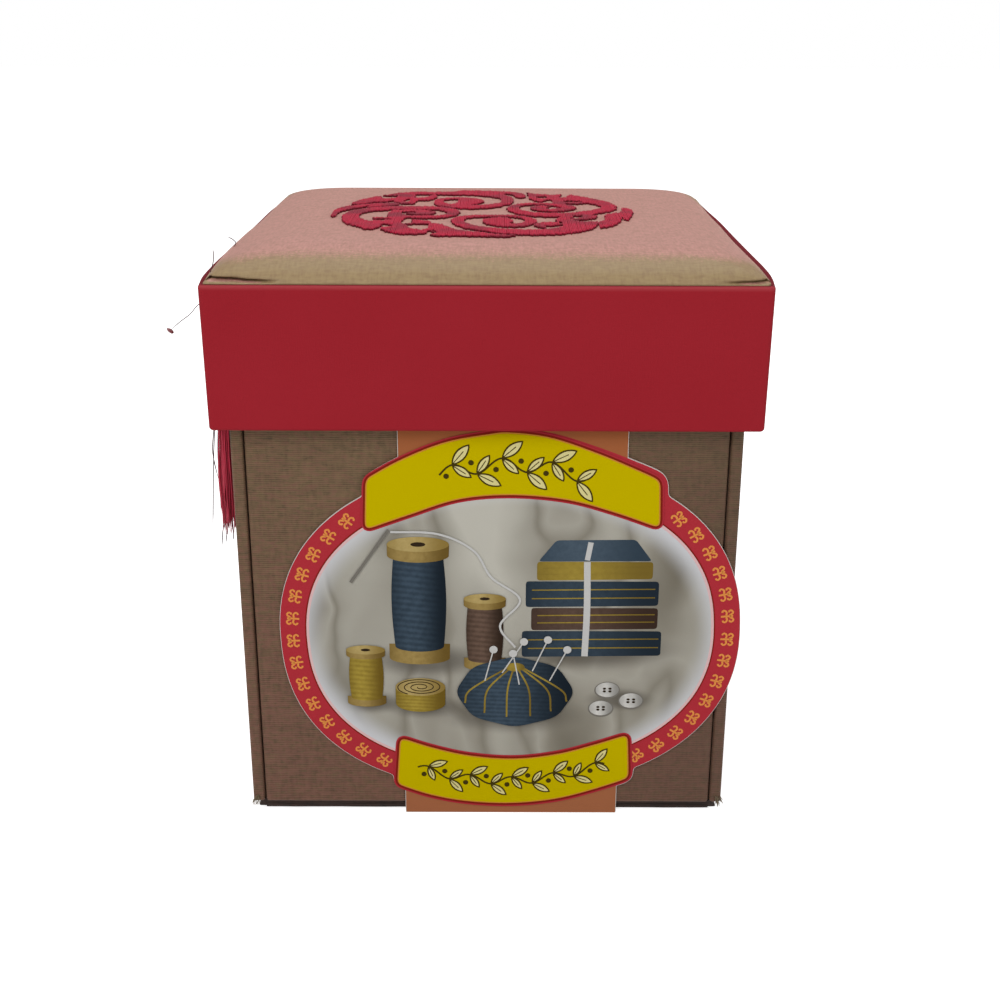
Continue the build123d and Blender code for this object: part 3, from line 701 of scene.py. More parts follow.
# Each shape is a line of (x, y, width of the shape there) in mm from the box's middle
stitched_shapes = {
    "bottom_scroll": [(22.9, -18.5, 5.6), (20.7, -23.5, 8.1), (16.3, -28.8, 8.1),
        (10.4, -30.7, 8.2), (5.4, -30.1, 7.6), (1.1, -27.6, 5.8), (-2.4, -25.2, 5),
        (-5.4, -21.3, 4.1), (-7.1, -16.6, 3.4), (-7.1, -12.2, 3.4), (-5.8, -9.1, 3.6),
        (-3.1, -7.5, 3.6), (0.1, -7.1, 3.1), (3.2, -6.8, 2.9), (6.3, -7.4, 3.1), (8.9, -9.8, 3),
        (10, -13.2, 2.9), (9.8, -16.3, 3.2), (7.9, -19.8, 4.1), (5.1, -20.7, 5.2),
        (2.6, -17.6, 7.4), (2.2, -14.1, 8), (2.6, -11, 5)],
    "bottom_hook": [(16.5, -17.6, 3.1), (14.1, -18.5, 5.8), (12.1, -21, 2.9), (13.2, -24.6, 0.6)],
    "bottom_stem": [(19.4, -7.9, 3.8), (17.6, -11.6, 3.2), (18.5, -14.8, 5), (20.4, -18.5, 6.9),
        (21, -22.2, 8.1)],
    "bottom_bar": [(19.8, -11.9, 2.2), (22.2, -11, 3.1), (24.1, -9.1, 3.8), (24.4, -5.4, 3.8)],
    "bottom_bar_low": [(19.8, -16.3, 2.5), (23.2, -16.8, 2.8), (27.2, -17.6, 3.1)],
    "bottom_leaf": [(31.9, -3.5, 3.1), (30.2, -6, 4.4), (29.9, -9.8, 4.1), (29.5, -13.5, 4.1),
        (28.4, -16.9, 5), (27.6, -20.1, 3.8), (26.3, -23.8, 0.8)],
    "right_comma": [(33.5, 6.8, 0.6), (34.1, 4, 2.1), (34.1, 0.9, 3), (33.5, -2.6, 3.5),
        (33.1, -6, 3.4), (33, -9.1, 2.4), (32.9, -12.8, 1)],
    "right_scroll": [(21.6, 25.9, 4.4), (23.2, 21.5, 7.5), (26, 17.8, 6.8), (28.6, 14, 5.5),
        (29.9, 9.9, 4.5), (29.9, 6.2, 4.4), (28.6, 2.8, 4.9), (26.1, -0.5, 5.6), (22.4, -3, 6),
        (18.2, -5.1, 6.2), (14.1, -5.4, 6.2), (10.4, -3.8, 5.6), (7.4, -0.5, 4.1), (6, 3.4, 3.4),
        (6.2, 7.1, 3.1), (7.6, 10.2, 3.1), (10.7, 12, 3.5), (14.8, 11.8, 3.9), (18.5, 9.3, 4.5),
        (19.9, 6.2, 3.8), (18.5, 3.1, 4.6), (15.4, 1.5, 3.8), (12.6, 3.4, 4.1), (12.4, 6.2, 4.1),
        (14.1, 7.8, 3.8)],
    "right_top": [(9.9, 34, 0.6), (10.9, 30.6, 3.1), (13.8, 28.2, 4.8), (17.2, 27.6, 4.5),
        (18.8, 29.5, 1.2)],
    "right_leaf": [(11.3, 28.1, 2.8), (11.3, 23.4, 2.4), (12.8, 20.2, 3.9), (13, 16.2, 0.8)],
    "right_link": [(11.6, 21.4, 2.5), (14.4, 21.2, 2.8), (16.3, 22.8, 1.9)],
    "right_stem": [(16, 26.8, 3.8), (16.9, 22.8, 4), (17.5, 18.4, 2.9), (17.6, 14, 3.1),
        (17.9, 9.6, 3.8)],
    "right_shoulder": [(21.6, 29, 1.2), (21.5, 25.2, 3.8), (20.4, 21.5, 5.6), (19.1, 18.7, 2.5)],
    "right_bar": [(18.2, 14.3, 2.8), (21, 14.1, 2.8), (23.8, 14.6, 2.2)],
    "top_scroll": [(-23.4, 29.3, 3.8), (-19.6, 30.6, 4.8), (-14.6, 30.8, 4.9), (-9, 31.2, 6.2),
        (-4, 32.1, 8.1), (-0.2, 30.2, 8.1), (2.8, 26.5, 5.2), (4.4, 22.1, 3.6), (4.6, 17.8, 3.2),
        (4.1, 13.7, 3.6), (1.9, 9.9, 5), (-1.5, 7.8, 6.2), (-5.2, 7.1, 6.2), (-9, 9, 5.2),
        (-11.8, 11.8, 3.9), (-13, 15.6, 2.9), (-12.9, 19, 2.8), (-11.5, 21.5, 3.1),
        (-8.4, 22.2, 3.4), (-5.6, 20.6, 5.6), (-4.8, 17.1, 7.2), (-5.9, 13.1, 6.2),
        (-8.1, 9.9, 4.4)],
    "top_tail": [(-6.5, 34.6, 5), (-0.9, 34.6, 5), (3.5, 33.7, 4.5), (6.8, 31.8, 4.5),
        (8, 28.4, 3.5), (8, 25.2, 2.8)],
    "top_leaf_tip": [(-28, 26.4, 0.8), (-25.2, 27.6, 2.8), (-22.4, 29.6, 3.8)],
    "top_stem": [(-22.1, 28.4, 5), (-22, 23.4, 5.2), (-23.2, 19, 3.5), (-22.8, 15.6, 3.1),
        (-20.6, 14.3, 2.9), (-19.8, 17.1, 2.1), (-19.6, 20.9, 3.1)],
    "top_hook": [(-19.6, 21.2, 3.5), (-17.4, 20.8, 4.8), (-15.4, 23.1, 2.8), (-14.8, 25.9, 1.9),
        (-14.9, 28.1, 1)],
    "top_comma": [(-28.9, 25.4, 0.9), (-29.9, 21.5, 3.8), (-31.2, 18.1, 5.4), (-32.9, 14.3, 4.1),
        (-34.6, 11.6, 1)],
    "top_comma_inner": [(-24.3, 20.6, 3.8), (-27.1, 19, 5.2), (-29.6, 17.1, 3.8)],
    "left_flag": [(-25.1, 12.4, 4.6), (-28.4, 11.5, 3.8), (-31.5, 9.9, 3.1)],
    "left_comma": [(-25.9, 10.9, 3.8), (-30.6, 9, 4.8), (-34.3, 6.2, 5.2), (-36.4, 2.1, 3.6),
        (-37.4, -2.9, 2.1), (-37.6, -8.8, 0.6)],
    "left_scroll": [(-26.8, -24.4, 2.5), (-27.6, -21.6, 6.2), (-30.1, -17.9, 6.8),
        (-32.1, -13.8, 5.4), (-33.2, -9.1, 4.4), (-33.2, -4.8, 4.2), (-32.1, -0.5, 4.6),
        (-29.1, 3.1, 5.5), (-24.6, 5.8, 6), (-19.6, 6.2, 6), (-14.9, 6, 5.8), (-11, 4, 4.6),
        (-9, 0.2, 3.6), (-8.8, -3.5, 3.2), (-9.9, -6.9, 3.8), (-12.8, -9.1, 4.5),
        (-16.5, -9.4, 4.5), (-19.3, -8.8, 3.1)],
    "left_eye": [(-21.8, 0.9, 3.8), (-18.4, 1.5, 3.8), (-15.9, -0.4, 5.2), (-15.6, -3.5, 4.4),
        (-17.8, -4.4, 2.5), (-19.3, -2.9, 1.9)],
    "left_stem": [(-22.4, 1.5, 3.5), (-23, -2.9, 3.5), (-22.2, -7.2, 4.8), (-22.1, -12.2, 4.6),
        (-22.8, -16.6, 4.6), (-21.5, -21.6, 4.8), (-19.9, -26, 5.6), (-17.1, -30.1, 6.2),
        (-14, -30.4, 3.8)],
    "left_bar": [(-27, -11, 2), (-24, -11.2, 2.5), (-21.5, -11.6, 2.5)],
    "left_foot": [(-26.2, -15.4, 3.1), (-27.4, -20.4, 6.2), (-27.2, -25.5, 3.1)],
    "left_low_scallop": [(-23.4, -25.4, 3.1), (-22.1, -27.9, 3.8), (-19, -30.7, 5)],
    "left_hook": [(-18.7, -14.8, 0.9), (-16.5, -16.3, 4.1), (-15.2, -18.5, 3.8),
        (-18.4, -19.6, 2.1), (-19.5, -19.8, 1.2)],
    "bottom_comma": [(-17.1, -19.2, 1.9), (-13.4, -19.9, 2.9), (-10.8, -22.9, 4.1),
        (-9.1, -27.9, 6.8), (-6.5, -31.9, 7.6), (-1.5, -34, 5.2), (3.5, -35.8, 2.5),
        (6, -35.2, 0.9)],
    "bottom_comma_foot": [(-11.2, -33.2, 3.1), (-11.2, -34.4, 2.9), (-7.1, -34.4, 3.1)],
    "left_curl": [(-13.1, -21.6, 1.5), (-13.4, -25.4, 1.5), (-13.9, -27.9, 2.5)],
}
# The silk shows in the narrow gaps between the shapes, written in the same way
bare_gaps = {
    "scroll_gap": [(-9.9, -20.4, 1.2), (-8.4, -23.5, 1.4), (-5.9, -26.9, 1.4),
        (-2.8, -29.4, 1.2), (1, -32.4, 0.9), (4.1, -34.1, 0.4)],
    "bottom_gap": [(6.6, -11.3, 1.6), (7.6, -14.1, 1.8), (6, -17.2, 1.1), (5.1, -17.9, 0.5)],
    "top_left_gap": [(-10.9, 19, 1.5), (-10.2, 16.2, 2.2), (-9.5, 13.4, 1)],
    "right_eye_gap": [(14.1, 9, 0.4), (15.7, 7.4, 1.5), (17.6, 6.2, 1), (17.5, 4.9, 0.2)],
    "left_eye_gap": [(-20.8, -2.6, 0.5), (-19.9, -5.1, 1.1), (-18.1, -6.2, 1.4),
        (-14.6, -6, 0.9), (-12.1, -5.4, 1.9), (-11.2, -3.5, 1.6), (-11.5, -1, 1.9),
        (-13.4, 0.9, 1.6), (-14.6, 0.2, 0.5)],
    "right_low_gap": [(10.4, 0.2, 1.5), (13.5, -1.5, 1.2), (17.6, -1.5, 1.2), (21, -0.7, 1.5)],
    "comma_gap": [(31.9, 7.1, 0.6), (32.8, 4, 0.6), (31.6, 0.9, 1.2), (29.1, -1.6, 1.4),
        (26.6, -4.1, 1.2), (25.4, -6, 0.6)],
    "tail_gap": [(4, 31.2, 0.4), (5.1, 29, 1.5), (6, 26.5, 1.2), (6.2, 24.6, 0.6)],
    "top_notch": [(9.4, 34.6, 0.9), (9.6, 32.1, 0.9), (9.6, 28.4, 0.6), (10.1, 25.9, 0.9)],
    "right_notch": [(19.6, 29, 1.4), (19.4, 25.2, 1.5)],
    "right_slot": [(19.4, 17, 1), (22.9, 16.8, 1.1)],
    "right_hole": [(13.6, 25.2, 2.1), (13.6, 23.7, 2.1)],
    "top_hole": [(-17.4, 27.6, 1.8), (-18.1, 25.2, 2.5)],
    "top_hole_low": [(-21, 19.9, 0.9), (-21.4, 18.1, 1.2), (-21.8, 17, 0.5)],
    "left_hole": [(-15.9, -21.6, 3.8), (-16.2, -23.8, 4.1), (-15.2, -25.7, 2.5)],
    "left_hole_side": [(-24.3, -20.7, 1.2), (-23.1, -22.4, 1.9)],
    "left_lower_notch": [(-13.2, -29.8, 0.9), (-13.2, -33.2, 0.9)],
    "left_mid_gap": [(-19.6, -12.6, 0.8), (-19.1, -16, 1.9), (-18.9, -18.5, 0.6)],
    "left_bar_gap": [(-26.2, -13.2, 1.5), (-23.4, -13.4, 1)],
    "left_outer_gap": [(-30.6, 8.1, 0.6), (-32.4, 4.9, 1), (-34.3, 2.4, 1), (-35.9, -0.7, 1.1),
        (-36.4, -5.4, 1.1), (-36.4, -9.1, 1)],
    "bottom_slot": [(22.6, -14.1, 1.8), (25.2, -14.2, 1.6)],
    "bottom_slot_up": [(26.5, -10.4, 1.1), (26.6, -12.9, 1.9)],
    "bottom_hole": [(21.1, -7.2, 0.8), (21.1, -9.1, 1.6), (21, -10.5, 0.9)],
    "bottom_pale": [(17.1, -16.3, 0.6), (16.9, -17.9, 0.8)],
    "unit_gap": [(5.1, 9.9, 0.9), (3.5, 7.1, 0.9), (4.4, 9.9, 0.9)],
}


def smooth_path(controls, step):
    """Points along a cubic spline through the controls (Catmull-Rom), evenly spaced by length."""
    controls = np.array(controls, float)
    ends = np.vstack([2 * controls[0] - controls[1], controls, 2 * controls[-1] - controls[-2]])
    t = np.linspace(0, 1, 40, endpoint=False)[:, None]
    pieces = []
    for a, b, c, d in zip(ends[:-3], ends[1:-2], ends[2:-1], ends[3:]):
        pieces.append(0.5 * (2 * b + (c - a) * t + (2 * a - 5 * b + 4 * c - d) * t**2
                             + (3 * b - a - 3 * c + d) * t**3))
    dense = np.vstack(pieces + [controls[-1:]])
    run = np.concatenate([[0], np.cumsum(np.linalg.norm(np.diff(dense[:, :2], axis=0), axis=1))])
    even = np.arange(0, run[-1], step)
    return np.stack([np.interp(even, run, dense[:, k]) for k in range(dense.shape[1])], axis=1)


# Places of the cells of a fine square raster along one of its sides
cells = np.arange(-stitch_reach, stitch_reach, stitch_grain)


def covered(controls, share):
    """Which cells of a fine square raster lie within a share of half the width of a shape's line."""
    dense = smooth_path(controls, 0.2)
    half_chord = np.sqrt(np.clip((np.maximum(dense[:, 2:], 0) * share / 2) ** 2
                                 - (cells[None, :] - dense[:, :1]) ** 2, 0, None))
    sample, column = np.nonzero(half_chord > 0)
    chord = half_chord[sample, column]
    first = ((dense[sample, 1] - chord + stitch_reach) / stitch_grain).astype(int)
    last = ((dense[sample, 1] + chord + stitch_reach) / stitch_grain).astype(int) + 1
    marks = np.zeros((len(cells), len(cells) + 2), int)
    np.add.at(marks, (column, np.clip(first, 0, len(cells))), 1)
    np.add.at(marks, (column, np.clip(last, 0, len(cells))), -1)
    return np.cumsum(marks, axis=1)[:, :len(cells)] > 0


def columns_of_stitches(filled, random):
    """Ends of the stitches: in each column, from the near edge of every filled run to its far edge.

    Both ends are moved by a random part of a millimetre, because they are set by hand.
    """
    step = int(round(stitch_pitch / stitch_grain))
    columns = filled[::step]
    change = np.diff(np.pad(columns, ((0, 0), (1, 1))).astype(int), axis=1)
    column, first = np.nonzero(change == 1)
    last = np.nonzero(change == -1)[1]
    near = first * stitch_grain - stitch_reach + random.uniform(-0.75, 0.40, len(first))
    far = last * stitch_grain - stitch_reach + random.uniform(-0.40, 0.75, len(first))
    long_enough = far - near > 0.5
    x = cells[::step][column] + random.uniform(-0.04, 0.04, len(column))
    return np.stack([np.stack([x, near], axis=1), np.stack([x, far], axis=1)], axis=1)[long_enough]


def threads(name, paths, radius, material, sides_round=5, beside=(0.0, 1.0, 0.013), flat=1.0,
            uv=None):
    """Closed tubes round many paths at once: paths is threads by points by three, in mm.

    Each point gets a ring of the radius, square to the path, that shrinks to a quarter at both ends.
    """
    paths = np.asarray(paths, float)
    count, length = paths.shape[:2]
    along = np.gradient(paths, axis=1)
    along /= np.linalg.norm(along, axis=2, keepdims=True)
    level = np.cross(along, beside)
    level /= np.linalg.norm(level, axis=2, keepdims=True)
    other = np.cross(along, level) * flat
    turn = np.linspace(0, 2 * pi, sides_round, endpoint=False)
    ring = (np.cos(turn)[:, None] * level[:, :, None, :] + np.sin(turn)[:, None] * other[:, :, None, :])
    thin = np.minimum(1, np.minimum(np.linspace(0, 6, length), np.linspace(6, 0, length)) + 0.25)
    points = paths[:, :, None, :] + ring * (radius * thin)[None, :, None, None]
    index = np.arange(count * length * sides_round).reshape(count, length, sides_round)
    following = np.roll(index, -1, axis=2)
    quads = np.stack([index[:, :-1], index[:, 1:], following[:, 1:], following[:, :-1]], axis=-1)
    caps = np.concatenate([index[:, 0], index[:, -1][:, ::-1]]).tolist()
    if uv is not None:
        uv = np.broadcast_to(uv[:, :, None, :], (count, length, sides_round, 2))
    return solid_piece(name, (points * MM).reshape(-1, 3), quads.reshape(-1, 4).tolist() + caps,
                       material, uv)


def satin_stitch():
    """Crimson floss: each stitch its own shade, with fibres along it and a soft gleam.

    Slow patches get painted shade, as if turned away from the light, and the last millimetre, where it dives
    into the cloth, is darkened as painted shade.
    """
    material = empty_material("crimson_satin_stitch")
    thread = add(material, "ShaderNodeUVMap", uv_map="thread")
    place = add(material, "ShaderNodeTexCoord").outputs["Object"]
    split = add(material, "ShaderNodeSeparateXYZ", {0: thread.outputs[0]})
    strand = add(material, "ShaderNodeMapping", {"Vector": thread.outputs[0], "Scale": (60, 0.9, 1)})
    fibre = add(material, "ShaderNodeTexNoise", {"Vector": strand.outputs[0], "Scale": 1.0,
                                                 "Detail": 3.0})
    tone = add(material, "ShaderNodeMapRange", {"Value": fibre.outputs["Fac"], "From Min": 0.25,
                                                "From Max": 0.75})
    # Painted shade: slow noise patches are darkened, as stitches turned away from the light
    turned = add(material, "ShaderNodeTexNoise", {"Vector": place, "Scale": 110.0, "Detail": 2.0})
    away = add(material, "ShaderNodeMapRange", {"Value": turned.outputs["Fac"], "From Min": 0.48,
                                                "From Max": 0.68, "To Max": 0.75})
    # Painted shade: darker within a millimetre of each stitch's ends, where it goes into the cloth
    dive = add(material, "ShaderNodeMapRange", {"Value": split.outputs["Y"], "From Min": 0.1,
                                                "From Max": 1.0, "To Min": 1.0, "To Max": 0.0})
    colour = "a81233"
    for factor, tint in ((tone, "d42a4d"), (away, "8a2f40"), (dive, "5c0a19")):
        colour = add(material, "ShaderNodeMix", {0: factor.outputs[0], 6: colour, 7: tint},
                     data_type="RGBA").outputs[2]
    bump = add(material, "ShaderNodeBump", {"Height": fibre.outputs["Fac"], "Distance": 0.00005,
                                            "Strength": 0.5})
    return finish_as_cloth(material, colour, 0.45, bump.outputs[0], 0.0, gloss=0.12)


def laid_stitches(ends, stations):
    """Path of each stitch: straight across, lifted in the middle, diving into the cloth at both ends.

    The lift is a quarter round over the dive; the distance from the nearer end is returned with it.
    """
    t = (1 - np.cos(np.linspace(0, pi, stations))) / 2
    plan = ends[:, :1] + (ends[:, 1:] - ends[:, :1]) * t[None, :, None]
    length = np.linalg.norm(ends[:, 1] - ends[:, 0], axis=1)[:, None]
    from_end = np.minimum(t, 1 - t)[None, :] * length
    quarter_round = np.sqrt(np.clip(1 - (1 - np.clip(from_end / floss_dive, 0, 1)) ** 2, 0, 1))
    lift = floss_rise * quarter_round - floss_bed
    z = top_z + top_swell(plan[..., 0], plan[..., 1]) + lift
    return np.concatenate([plan, z[..., None]], axis=-1), from_end


random = np.random.default_rng(7)
filled = np.zeros((len(cells), len(cells)), bool)
for controls in stitched_shapes.values():
    filled |= covered(controls, shape_share)
for controls in bare_gaps.values():
    filled &= ~covered(controls, gap_share)
stitch_paths, from_end = laid_stitches(columns_of_stitches(filled, random), stations=10)
own_shade = np.broadcast_to(random.uniform(0, 1, (len(stitch_paths), 1)), from_end.shape)
embroidery = threads("satin_stitch_roundel", stitch_paths, floss_radius, satin_stitch(),
                     beside=(0, 0, 1), flat=1.1, uv=np.stack([own_shade, from_end], axis=-1))
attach(embroidery, "lid")
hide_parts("embroidery")

# Tassel
# Crimson rayon threads doubled over a cord loop, bound into a round head and
# hanging free below; some dark threads have strayed out of the bundle.
tassel_low, tassel_high = corners_mm("tassel_threads")
head_low, head_high = corners_mm("tassel_head")
tassel_x = (tassel_low[0] + tassel_high[0]) / 2
tassel_y = (tassel_low[1] + tassel_high[1]) / 2


def rayon_thread(name, dark, bright):
    """Shiny twisted thread: short upright streaks of two near colours, raised a little."""
    material = empty_material(name)
    place = add(material, "ShaderNodeTexCoord").outputs["Object"]
    drawn_out = add(material, "ShaderNodeMapping", {"Vector": place, "Scale": (900, 900, 260)})
    streak = add(material, "ShaderNodeTexNoise", {"Vector": drawn_out.outputs[0], "Scale": 1.0,
                                                  "Detail": 2.0})
    colour = add(material, "ShaderNodeMix", {0: streak.outputs["Fac"], 6: dark, 7: bright},
                 data_type="RGBA").outputs[2]
    bump = add(material, "ShaderNodeBump", {"Height": streak.outputs["Fac"], "Distance": 0.00005})
    return finish_as_cloth(material, colour, 0.45, bump.outputs[0], 0.2)


thread_count = 82
thread_radius = 0.17
bundle_half_x, bundle_half_y = 1.95, 3.4
tassel_lean = 1.2
thread_wave = 0.3


def hanging_threads(count, low, random):
    """Threads from the neck of the head, flattened against the box, leaning out a little to their ends.

    Each keeps its place in the bundle, which swells below the neck, and waves more towards its end.
    """
    t = np.linspace(0, 1, 18)
    turn = random.uniform(0, 2 * pi, count)
    out = np.sqrt(random.uniform(0, 1, count))
    drop = random.uniform(low + 1.6, low + 6.0, count)
    wave = random.uniform(0, 2 * pi, (count, 2))
    neck_z = head_low[2] + 0.6
    swell = (0.62 + 0.38 * np.sin(t * pi * 0.75)) * np.minimum(1, 0.55 + t * 3)
    x = (tassel_x + 0.5 - tassel_lean * t + bundle_half_x * out[:, None] * swell * np.cos(turn)[:, None]
         + thread_wave * t * np.sin(8 * t + wave[:, :1]))
    y = (tassel_y + bundle_half_y * out[:, None] * swell * np.sin(turn)[:, None]
         + thread_wave * t * np.sin(6 * t + wave[:, 1:]))
    z = neck_z + (drop - neck_z)[:, None] * t[None, :]
    return np.stack([x, y, z], axis=-1)


crimson_rayon = rayon_thread("crimson_rayon", "96142c", "d83050")
hanging = threads("tassel_hanging_threads", hanging_threads(thread_count, tassel_low[2], random),
                  thread_radius, crimson_rayon)
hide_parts("tassel_threads")


binding_top = head_low[2] + 2.2


def wound_head():
    """Threads wound round the head: level rings that follow its turned outline, bound at the neck.

    Above the binding 26 upright ribs wave round the head; the binding waves down it every 0.5 mm.
    """
    outline = [(0.9, head_high[2]), (2.5, head_high[2] - 1.0), (3.2, head_high[2] - 3.8),
               (3.0, head_low[2] + 2.4), (2.4, head_low[2] + 1.0), (2.7, head_low[2])]
    path = smooth_path([(r, z, 0) for r, z in outline], 0.12)
    around = np.linspace(0, 2 * pi, 64, endpoint=False)
    ribs = 0.10 * np.cos(around * 26)[None, :] * (path[:, 1] > binding_top)[:, None]
    binding = 0.12 * np.cos(2 * pi * path[:, 1] / 0.5) * (path[:, 1] <= binding_top)
    radius = path[:, :1] + ribs + binding[:, None]
    x = tassel_x + radius * np.cos(around)
    y = tassel_y + radius * np.sin(around)
    z = np.broadcast_to(path[:, 1:2], x.shape)
    return np.stack([x, y, z], axis=-1)


head = grid_mesh("tassel_wound_head", wound_head(), crimson_rayon, closed=True, capped=True)
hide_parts("tassel_head")

# The cord comes out of a knot at the lid's side, on the axis that the tassel swings on
cord_foot = corners_mm("tassel_cord")[0][2] - 0.4
knot_middle = np.array([-60.8, tassel_y, 118.0])
cord_route = [knot_middle + (-0.6, 0, -0.3), knot_middle + (-1.8, 0, -1.1),
              knot_middle + (-3.1, 0, -2.7), (tassel_x, tassel_y, knot_middle[2] - 5.0),
              (tassel_x, tassel_y, cord_foot)]
cord_step = 0.25
cord_pitch = 2.2
strand_radius = 0.33
strand_offset = 0.3
knot_radius = 1.0


def along_route(route, step):
    """Smooth path through (x, y, z) points that fall mostly in x and z."""
    return smooth_path(np.array(route)[:, [0, 2, 1]], step)[:, [0, 2, 1]]


def twisted_cord():
    """Two strands that circle the route half a turn apart, a turn every 2.2 mm."""
    middle = along_route(cord_route, cord_step)
    strands = []
    for phase in (0, pi):
        spin = 2 * pi * cord_step * np.arange(len(middle)) / cord_pitch + phase
        offset = np.stack([np.cos(spin), np.sin(spin), 0.2 * np.cos(spin)], axis=-1)
        strands.append(middle + offset * strand_offset)
    return strands


def cord_knot():
    """Overhand knot round the swing axis: a ball whose surface waves along slanting turns of cord."""
    around = np.linspace(0, 2 * pi, 40, endpoint=False)
    fall = np.linspace(0.02, 0.98, 24)[:, None] * pi
    radius = knot_radius + 0.06 * np.cos(3 * around + 4 * fall)
    return knot_middle + np.stack([radius * np.sin(fall) * np.cos(around),
                                   radius * np.sin(fall) * np.sin(around),
                                   radius * np.cos(fall)], axis=-1)


cord = threads("tassel_twisted_cord", twisted_cord(), strand_radius, crimson_rayon, sides_round=8)
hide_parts("tassel_cord")
knot_of_cord = grid_mesh("tassel_cord_knot", cord_knot(), crimson_rayon, closed=True, capped=True)

# Loose threads: two dark ones that hang outside the bundle, short ones at its
# ends, a knotted one that sticks out of the lid's side, and hairs on the rim
dark_thread = rayon_thread("stray_dark_thread", "3a2326", "6a4448")
# Points along each thread, in mm
tassel_strays = [
    [(-65.6, -19, 96), (-67.5, -19, 83), (-68.5, -19, 72), (-69.1, -19, 64), (-69.6, -19, 57.8)],
    [(-65.4, -19, 96), (-66.8, -19, 81), (-67.0, -19, 74), (-67.0, -19, 67), (-67.3, -19, 61.3)],
    [(-65.8, -19, 96), (-67.8, -19, 83), (-68.2, -19, 79), (-67.6, -19, 74), (-67.1, -19, 71.5)],
    [(-65.2, -19, 62), (-66.8, -19, 59), (-67.3, -19, 56), (-67.5, -19, 53.9)],
    [(-65.0, -19, 62), (-65.8, -19, 58.5), (-66.3, -19, 56), (-66.5, -19, 54.5)],
    [(-64.4, -19, 62), (-64.4, -19, 59), (-64.4, -19, 57), (-64.6, -19, 55.4)],
]
lid_strays = [
    [(-61.4, -20, 117.0), (-66.0, -20, 117.6), (-69.0, -20, 116.1), (-71.0, -20, 113.9),
     (-73.6, -20, 112.0), (-76.1, -20, 109.8)],
    [(-59.4, -50, 129.6), (-58.6, -50, 131.8), (-58.4, -50, 133.3), (-58.4, -50, 135.0)],
    [(-57.8, -30, 131.6), (-57.2, -30, 132.6), (-58.0, -30, 133.5), (-58.9, -30, 133.9)],
]
for name, routes, radius, body in (("tassel_stray_threads", tassel_strays, 0.13, "tassel"),
                                   ("lid_stray_threads", lid_strays, 0.11, "lid")):
    stray_paths = []
    for route in routes:
        path = along_route(route, 0.1)
        stray_paths.append(path[np.linspace(0, len(path) - 1, 18).astype(int)])
    strays = threads(name, stray_paths, radius, dark_thread)
    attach(strays, body)

# The knot at the end of the longest one: a ball with three lobes that leans along the thread
knot_end = np.array(lid_strays[0][-1])
around = np.linspace(0, 2 * pi, 12, endpoint=False)
fall = np.linspace(0.03, 0.97, 9) * pi
lobes = 0.62 * (1 + 0.2 * np.sin(3 * around))[None, :] * np.sin(fall)[:, None]
knot_points = np.stack([knot_end[0] + lobes * np.cos(around) - 0.5 * np.cos(fall)[:, None],
                        knot_end[1] + lobes * np.sin(around),
                        knot_end[2] + 0.7 * np.cos(fall)[:, None] + 0 * around], axis=-1)
pink_thread = rayon_thread("dusty_pink_thread", "8a5054", "a0686a")
knot = grid_mesh("stray_thread_knot", knot_points, pink_thread, closed=True, capped=True)
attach(knot, "lid")
for piece in (hanging, head, cord, knot_of_cord):
    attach(piece, "tassel")

# Frayed silk
# At both lower front corners the silk is cut off raw, and loose warp threads
# hang from it.
frayed_silk = plain_cloth("frayed_silk_thread", "54442f", "857459", fibre_mm=0.4)
fray_radius = 0.085


def frayed_corner(side_sign, count, random):
    """Short threads from the foot of the wall, each falling outward and down by its own amount.

    At a share t of the way they have gone out by t to the power 1.5, and down by t to the 1.2.
    """
    t = np.linspace(0, 1, 7)
    start_x = side_sign * random.uniform(54.8, 56.1, count)
    start_y = random.uniform(-56.7, -56.2, count)
    start_z = random.uniform(3.6, 5.0, count)
    drop = random.uniform(0.6, 2.4, count)
    drift = random.uniform(0.0, 1.0, (count, 2))
    x = start_x[:, None] + side_sign * drift[:, :1] * t**1.5
    y = start_y[:, None] - 0.3 * drift[:, 1:] * t
    z = start_z[:, None] - drop[:, None] * t**1.2
    return np.stack([x, y, z], axis=-1)


for side_sign, wall, count in ((-1, "left_wall", 26), (1, "right_wall", 20)):
    frayed = threads(f"{wall}_frayed_silk", frayed_corner(side_sign, count, random), fray_radius,
                     frayed_silk)
    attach(frayed, wall)


# Card sleeve
# One die-cut card printed in offset ink: a band that runs under the base, and on
# the front an oval label with a red ring, a round picture and two yellow
# banners. Cut edges show white.
card_white = plain_cloth("white_cut_card", "cfc9c4", "dad4cf", fibre_mm=0.3, sheen=0.0)
for node in ("sleeve_back_flap", "sleeve_base_strip"):
    wear(node, card_white)

flap_low, flap_high = corners_mm("sleeve_front_flap")
strip_low, strip_high = corners_mm("sleeve_base_strip")
label_x, label_z = 5.3, 47.8
label_half = (52.8, 41.1)
label_turn = radians(2.6)
label_fullness = 2.28
print_layer = 0.025  # each ink lies this far over the one before it


def finish_as_ink(material, colour):
    """Close a material as offset ink on matt coated card: flat colour and next to no gloss."""
    return close_material(material, add(material, "ShaderNodeBsdfPrincipled", {
        "Base Color": colour, "Roughness": 0.5, "Specular IOR Level": 0.0}))


def printed(name, first, second):
    """Even ink with a fine grain of dots, about 0.3 mm apart, between two near colours."""
    material = empty_material(name)
    place = add(material, "ShaderNodeTexCoord").outputs["Object"]
    dots = add(material, "ShaderNodeTexNoise", {"Vector": place, "Scale": 3500.0})
    colour = add(material, "ShaderNodeMix", {0: dots.outputs["Fac"], 6: first, 7: second},
                 data_type="RGBA").outputs[2]
    return finish_as_ink(material, colour)


